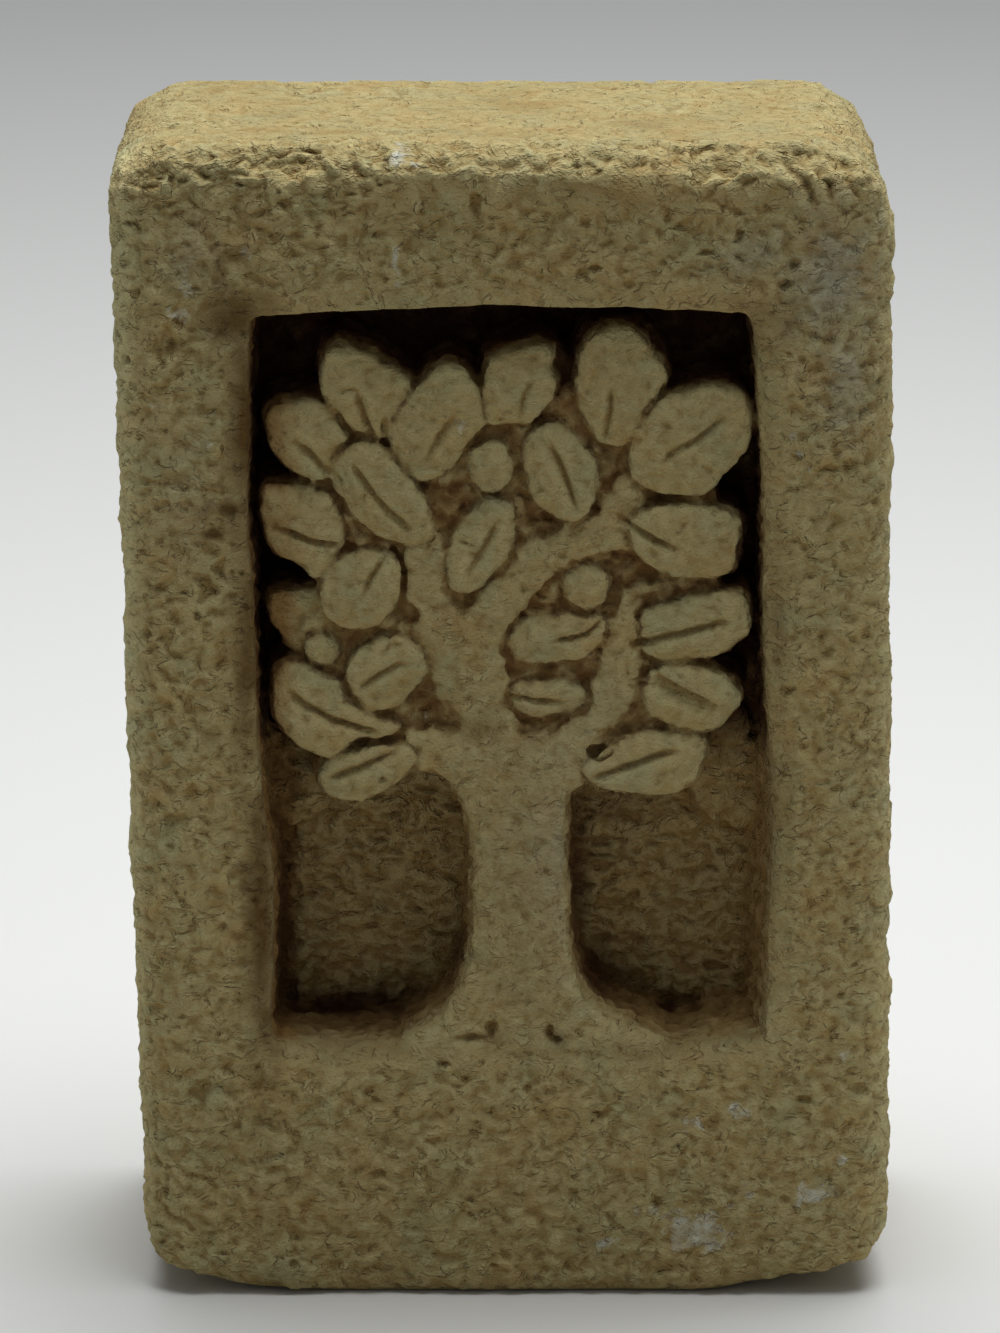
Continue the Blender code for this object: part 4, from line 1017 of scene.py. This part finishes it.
def thin_out(mesh, faces):
    """Lowers the mesh to a number of triangles, keeping more of them on the front.

    It is done in millimetres, so that the thinning doesn't work on very small numbers.
    """
    mesh.transform(Matrix.Scale(MM, 4))
    item = bpy.data.objects.new(PIECE, mesh)
    bpy.context.scene.collection.objects.link(item)

    # The plainer a place is, the more of its triangles go: the carving keeps the most
    points = read_points(mesh)[0] / MM
    relief = between(-np.abs(points[:, 0]), -35.0, -33.0) * between(points[:, 2], 32.0, 36.0)
    plain = 0.5 * (1 - relief * (1 - between(points[:, 1], BACK_WALL + 1.0, BACK_WALL + 3.0)))
    plain = np.maximum(plain, between(points[:, 1], BACK_WALL - 4.0, BACK_WALL + 4.0) * (1 - relief))
    plain = np.maximum(plain, between(points[:, 1], BACK_WALL + 3.0, BACK_WALL + 6.0))
    group = item.vertex_groups.new(name="plain")
    for level in range(CARE_STEPS + 1):
        chosen = np.flatnonzero(np.round(plain * CARE_STEPS) == level)
        group.add(chosen.tolist(), 0.05 + level * 0.95 / CARE_STEPS, "REPLACE")

    triangles = sum(len(p.vertices) - 2 for p in mesh.polygons)
    thin = item.modifiers.new("thin", "DECIMATE")
    thin.ratio = min(1.0, faces / triangles)
    thin.use_collapse_triangulate = True
    thin.vertex_group = "plain"
    thin.vertex_group_factor = FRONT_CARE
    evaluated = item.evaluated_get(bpy.context.evaluated_depsgraph_get())
    finished = bpy.data.meshes.new_from_object(evaluated)
    finished.transform(Matrix.Scale(1 / MM, 4))
    item.modifiers.remove(thin)
    item.vertex_groups.clear()
    item.data = finished
    if len(finished.polygons) > faces * 1.05:
        raise RuntimeError(f"the skin still has {len(finished.polygons)} triangles")
    return item


def add_node(tree, kind, inputs=None, **settings):
    """Adds a node, sets its own settings, and fills or links its inputs."""
    node = tree.nodes.new(kind)
    for name, value in settings.items():
        setattr(node, name, value)
    for key, value in (inputs or {}).items():
        if isinstance(value, bpy.types.NodeSocket):
            tree.links.new(value, node.inputs[key])
        else:
            node.inputs[key].default_value = value
    return node


def crease_lines(tree, folds, lumps, seam):
    """Short creases between the lumps, stronger in some patches and fainter on the leaves."""
    apart = add_node(tree, "ShaderNodeMath", {0: folds, 1: 0.5}, operation="SUBTRACT").outputs[0]
    away = add_node(tree, "ShaderNodeMath", {0: apart}, operation="ABSOLUTE").outputs[0]
    line = add_node(tree, "ShaderNodeMapRange", {"Value": away, "From Min": 0.055, "From Max": 0.0})
    patch = add_node(tree, "ShaderNodeMapRange", {"Value": lumps, "From Min": 0.42, "From Max": 0.6})
    shown = add_node(tree, "ShaderNodeMapRange", {"Value": seam, "From Min": 1.5, "From Max": 4.5,
                                                  "To Min": 0.3, "To Max": 1.0})
    broken = add_node(tree, "ShaderNodeMath", {0: line.outputs["Result"], 1: patch.outputs["Result"]},
                      operation="MULTIPLY").outputs[0]
    return add_node(tree, "ShaderNodeMath", {0: broken, 1: shown.outputs["Result"]},
                    operation="MULTIPLY").outputs[0]


def painted_seam_shade(tree, folds, lumps, seam):
    """Painted shade: dark lines up to 0.5 mm wide where a leaf meets the stone behind it, broken here and
    there.
    """
    shifted = add_node(tree, "ShaderNodeMath", {0: lumps, 1: 1.6, 2: seam},
                       operation="MULTIPLY_ADD").outputs[0]
    gone = add_node(tree, "ShaderNodeMath", {0: shifted, 1: 0.9}, operation="SUBTRACT").outputs[0]
    near = add_node(tree, "ShaderNodeMath", {0: gone}, operation="ABSOLUTE").outputs[0]
    lined = add_node(tree, "ShaderNodeMapRange", {"Value": near, "From Min": 0.40, "From Max": 0.05,
                                                  "To Max": 0.7})
    some = add_node(tree, "ShaderNodeMapRange", {"Value": folds, "From Min": 0.42, "From Max": 0.60})
    return add_node(tree, "ShaderNodeMath", {0: lined.outputs["Result"], 1: some.outputs["Result"]},
                    operation="MULTIPLY").outputs[0]


def painted_light_and_shade_tint(tree, level, height, painted_side_light):
    """Paints light and shade: the side of each lump that faces up, the heights and the side arrises paler,
    and the hollows darker and warmer.
    """
    painted_top_light = add_node(tree, "ShaderNodeMapRange", {"Value": level, "From Min": -0.5, "From Max": 0.2,
                                                  "To Min": 0.62, "To Max": 0.95})
    wear_and_relief_shade = add_node(tree, "ShaderNodeMapRange", {"Value": height, "From Min": 0.0, "From Max": 1.0,
                                                 "To Min": 0.82, "To Max": 1.2})
    tone = add_node(tree, "ShaderNodeMath", {0: painted_top_light.outputs["Result"], 1: wear_and_relief_shade.outputs["Result"]},
                    operation="MULTIPLY").outputs[0]
    paler = add_node(tree, "ShaderNodeMath", {0: painted_side_light, 1: 0.45, 2: tone},
                     operation="MULTIPLY_ADD").outputs[0]
    share = add_node(tree, "ShaderNodeMapRange", {"Value": paler, "From Min": 0.5, "From Max": 1.15},
                     clamp=False).outputs["Result"]
    return add_node(tree, "ShaderNodeMix", {0: share, 6: DARK_TINT, 7: PALE_TINT}, data_type="RGBA",
                    clamp_factor=False).outputs[2]


def picked_limestone(finish):
    """Soft ochre limestone, cut with pick and chisel and left as cut, then handled for years.

    The eye sees a dry and wholly dull surface: pale grainy lumps with warmer patches, brown in
    everything deep, partly earth and partly painted shade, painted light on the lumps' upper sides
    and the side arrises, and white bruises where the skin was knocked.
    """
    material = bpy.data.materials.new("limestone_picked_by_hand")
    material.use_nodes = True
    tree = material.node_tree
    shader = tree.nodes["Principled BSDF"]
    shader.inputs["Roughness"].default_value = 0.93
    shader.inputs["IOR"].default_value = 1.49
    shader.inputs["Specular IOR Level"].default_value = 0.25

    place = add_node(tree, "ShaderNodeTexCoord").outputs["Object"]
    marks = {name: add_node(tree, "ShaderNodeAttribute", attribute_name=name).outputs["Fac"]
             for name in ("relief", "chalk", "stain_and_shade", "smear", "deep_shade_and_earth", "umber", "seam", "painted_side_light")}

    # Beds of warmer and cooler stone in patches 8 mm across, lumps 1.5 mm and grains 0.45 mm across,
    # and folds 3.4 mm across that are longer across than up
    squashed = add_node(tree, "ShaderNodeMapping", {"Vector": place,
                                                    "Scale": (1.0, 1.0, 1.5)}).outputs["Vector"]
    noises = ((place, 8, 6.0, 0.7, 0.0), (place, 1.5, 4.0, 0.6, 0.0), (place, 0.45, 2.0, 0.6, 0.0),
              (squashed, 3.4, 3.0, 0.6, 0.7))
    beds, lumps, grain, folds = [
        add_node(tree, "ShaderNodeTexNoise", {"Vector": vector, "Scale": MM / across, "Detail": detail,
                                              "Roughness": roughness, "Distortion": bend}).outputs["Fac"]
        for vector, across, detail, roughness, bend in noises]
    warm, cool = [
        add_node(tree, "ShaderNodeMapRange", {"Value": beds, "From Min": least, "From Max": most,
                                              "To Max": 0.6}).outputs["Result"]
        for least, most in ((0.5, 0.68), (0.48, 0.34))]

    # The lumps and their creases stand out by the coarse bump, and the grains by the fine one
    crease = crease_lines(tree, folds, lumps, marks["seam"])
    folded = add_node(tree, "ShaderNodeMath", {0: crease, 1: -0.3, 2: lumps},
                      operation="MULTIPLY_ADD").outputs[0]
    coarse = add_node(tree, "ShaderNodeBump", {"Strength": 1.0, "Distance": 0.0010,
                                               "Height": folded}).outputs["Normal"]
    fine = add_node(tree, "ShaderNodeBump", {"Strength": 0.8, "Distance": 0.00025, "Height": grain,
                                             "Normal": coarse}).outputs["Normal"]
    tree.links.new(fine, shader.inputs["Normal"])

    # Brown lies in the hollows and creases, painted shade with some earth, and the bruises are ragged
    uneven = add_node(tree, "ShaderNodeMath", {0: lumps, 1: 1.4, 2: -0.7},
                      operation="MULTIPLY_ADD").outputs[0]
    height = add_node(tree, "ShaderNodeMath", {0: marks["relief"], 1: uneven}, operation="ADD").outputs[0]
    hollow = add_node(tree, "ShaderNodeMapRange", {"Value": height, "From Min": 0.42, "From Max": -0.2,
                                                   "To Max": 0.24}).outputs["Result"]
    hollow_shade_and_earth = add_node(tree, "ShaderNodeMath", {0: crease, 1: 0.45, 2: hollow},
                    operation="MULTIPLY_ADD").outputs[0]
    fleck = add_node(tree, "ShaderNodeMath", {0: marks["chalk"], 1: uneven}, operation="ADD").outputs[0]
    bruised = add_node(tree, "ShaderNodeMapRange", {"Value": fleck, "From Min": 0.38, "From Max": 0.75,
                                                    "To Max": 0.85}).outputs["Result"]

    # Each colour lies over the ones before it, and the tone, painted light and shade, lies over them all
    seam_shade = painted_seam_shade(tree, folds, lumps, marks["seam"])
    ground = (*finish.stone, 1.0)
    for share, laid in ((warm, finish.ochre), (cool, finish.green), (hollow_shade_and_earth, finish.brown),
                        (marks["smear"], finish.grey), (marks["stain_and_shade"], finish.stain_and_shade),
                        (marks["deep_shade_and_earth"], finish.brown), (marks["umber"], finish.umber),
                        (seam_shade, finish.umber), (bruised, finish.chalk)):
        ground = add_node(tree, "ShaderNodeMix", {0: share, 6: ground, 7: (*laid, 1.0)},
                          data_type="RGBA").outputs[2]
    # How far the bumped surface faces up, which the painted light from above follows
    level = add_node(tree, "ShaderNodeSeparateXYZ", {"Vector": fine}).outputs["Z"]
    tint = painted_light_and_shade_tint(tree, level, height, marks["painted_side_light"])
    toned = add_node(tree, "ShaderNodeVectorMath", {0: ground, 1: tint}, operation="MULTIPLY").outputs[0]
    tree.links.new(toned, shader.inputs["Base Color"])
    return material


def matte_floor(shade):
    """White melamine board, rolled matt: an even pale ground with no gloss to draw the eye."""
    material = bpy.data.materials.new("board_matt_white")
    material.use_nodes = True
    tree = material.node_tree
    shader = tree.nodes["Principled BSDF"]
    shader.inputs["Roughness"].default_value = 0.75
    shader.inputs["IOR"].default_value = 1.48
    shader.inputs["Specular IOR Level"].default_value = 0.2
    place = add_node(tree, "ShaderNodeTexCoord").outputs["Object"]
    clouds = add_node(tree, "ShaderNodeTexNoise", {"Vector": place, "Scale": 3.0, "Detail": 1.0})
    shader.inputs["Base Color"].default_value = (*shade, 1.0)
    soft = add_node(tree, "ShaderNodeBump", {"Strength": 0.02, "Distance": 0.001,
                                             "Height": clouds.outputs["Fac"]}).outputs["Normal"]
    tree.links.new(soft, shader.inputs["Normal"])
    return material


def lay_floor(stage):
    """Lays a round pale floor, wide enough to fill every view."""
    bpy.ops.mesh.primitive_circle_add(vertices=128, radius=FLOOR_RADIUS, fill_type="NGON")
    floor = bpy.context.object
    floor.name = "floor"
    floor.data.materials.append(matte_floor(stage.floor))


def hang_lights(scene, stage):
    """Hangs a soft box overhead, a wider one above and behind, and fills from all round."""
    world = bpy.data.worlds.new("studio")
    world.use_nodes = True
    background = world.node_tree.nodes["Background"]
    background.inputs["Color"].default_value = (0.95, 0.98, 1.0, 1.0)
    background.inputs["Strength"].default_value = stage.fill
    scene.world = world
    boxes = (("overhead", OVERHEAD, OVERHEAD_SIZE, stage.overhead),
             ("behind", BEHIND, BEHIND_SIZE, stage.behind))
    for name, place, size, power in boxes:
        light = bpy.data.lights.new(name, "AREA")
        light.shape = "SQUARE"
        light.size = size
        light.energy = power
        item = bpy.data.objects.new(name, light)
        item.location = place
        item.rotation_euler = (Vector(LIGHT_AIM) - item.location).to_track_quat("-Z", "Y").to_euler()
        scene.collection.objects.link(item)


def set_camera(scene):
    """Sets the camera where the photograph was taken from, a little above and straight in front."""
    lens = bpy.data.cameras.new("camera")
    lens.lens = CAMERA_LENS
    lens.sensor_width = SENSOR_WIDTH
    camera = bpy.data.objects.new("camera", lens)
    pitch = math.radians(CAMERA_PITCH)
    aim = Vector(CAMERA_AIM)
    camera.location = aim + CAMERA_DISTANCE * Vector((0.0, -math.cos(pitch), math.sin(pitch)))
    camera.rotation_euler = (aim - camera.location).to_track_quat("-Z", "Y").to_euler()
    scene.collection.objects.link(camera)
    scene.camera = camera
    scene.view_settings.view_transform = "Standard"


class PLAQUE_OT_carve(bpy.types.Operator):
    """Cuts the plaque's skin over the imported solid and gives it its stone"""

    bl_idname = "plaque.carve"
    bl_label = "Carve the plaque"

    def execute(self, context):
        skin, finish = context.scene.plaque_skin, context.scene.plaque_finish
        cell = skin.cell * 1.0
        relief = Relief()
        mesh = fine_mesh(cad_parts[NODE], relief, cell)
        carve_skin(mesh, relief, skin)
        plaque = thin_out(mesh, skin.faces)
        plaque.data.materials.clear()
        plaque.data.materials.append(picked_limestone(finish))
        plaque.data.shade_smooth()
        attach(plaque, "root")
        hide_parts(NODE)
        return {"FINISHED"}


class PLAQUE_OT_stage(bpy.types.Operator):
    """Lays the floor, hangs the lights and sets the camera"""

    bl_idname = "plaque.set_stage"
    bl_label = "Set the stage"

    def execute(self, context):
        scene, stage = context.scene, context.scene.plaque_stage
        lay_floor(stage)
        hang_lights(scene, stage)
        set_camera(scene)
        return {"FINISHED"}


class PLAQUE_PT_sidebar(bpy.types.Panel):
    """Lists the plaque's settings and steps."""

    bl_idname = "PLAQUE_PT_sidebar"
    bl_label = "Tree of Life Plaque"
    bl_space_type = "VIEW_3D"
    bl_region_type = "UI"
    bl_category = "Plaque"

    def draw(self, context):
        scene = context.scene
        for settings, step in ((scene.plaque_skin, PLAQUE_OT_carve), (scene.plaque_finish, None),
                               (scene.plaque_stage, PLAQUE_OT_stage)):
            box = self.layout.box()
            for name in settings.__annotations__:
                box.prop(settings, name)
            if step:
                box.operator(step.bl_idname)


SETTINGS = {"plaque_skin": PlaqueSkin, "plaque_finish": PlaqueFinish, "plaque_stage": PlaqueStage}
CLASSES = (*SETTINGS.values(), PLAQUE_OT_carve, PLAQUE_OT_stage, PLAQUE_PT_sidebar)


def register():
    """Adds the settings, the steps and the panel to Blender."""
    for part in CLASSES:
        bpy.utils.register_class(part)
    for name, kind in SETTINGS.items():
        setattr(bpy.types.Scene, name, bpy.props.PointerProperty(type=kind))


def unregister():
    """Takes them out again."""
    for name in SETTINGS:
        delattr(bpy.types.Scene, name)
    for part in reversed(CLASSES):
        bpy.utils.unregister_class(part)


def main():
    """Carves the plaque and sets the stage."""
    register()
    bpy.ops.plaque.carve()
    bpy.ops.plaque.set_stage()


if __name__ == "__main__":
    main()
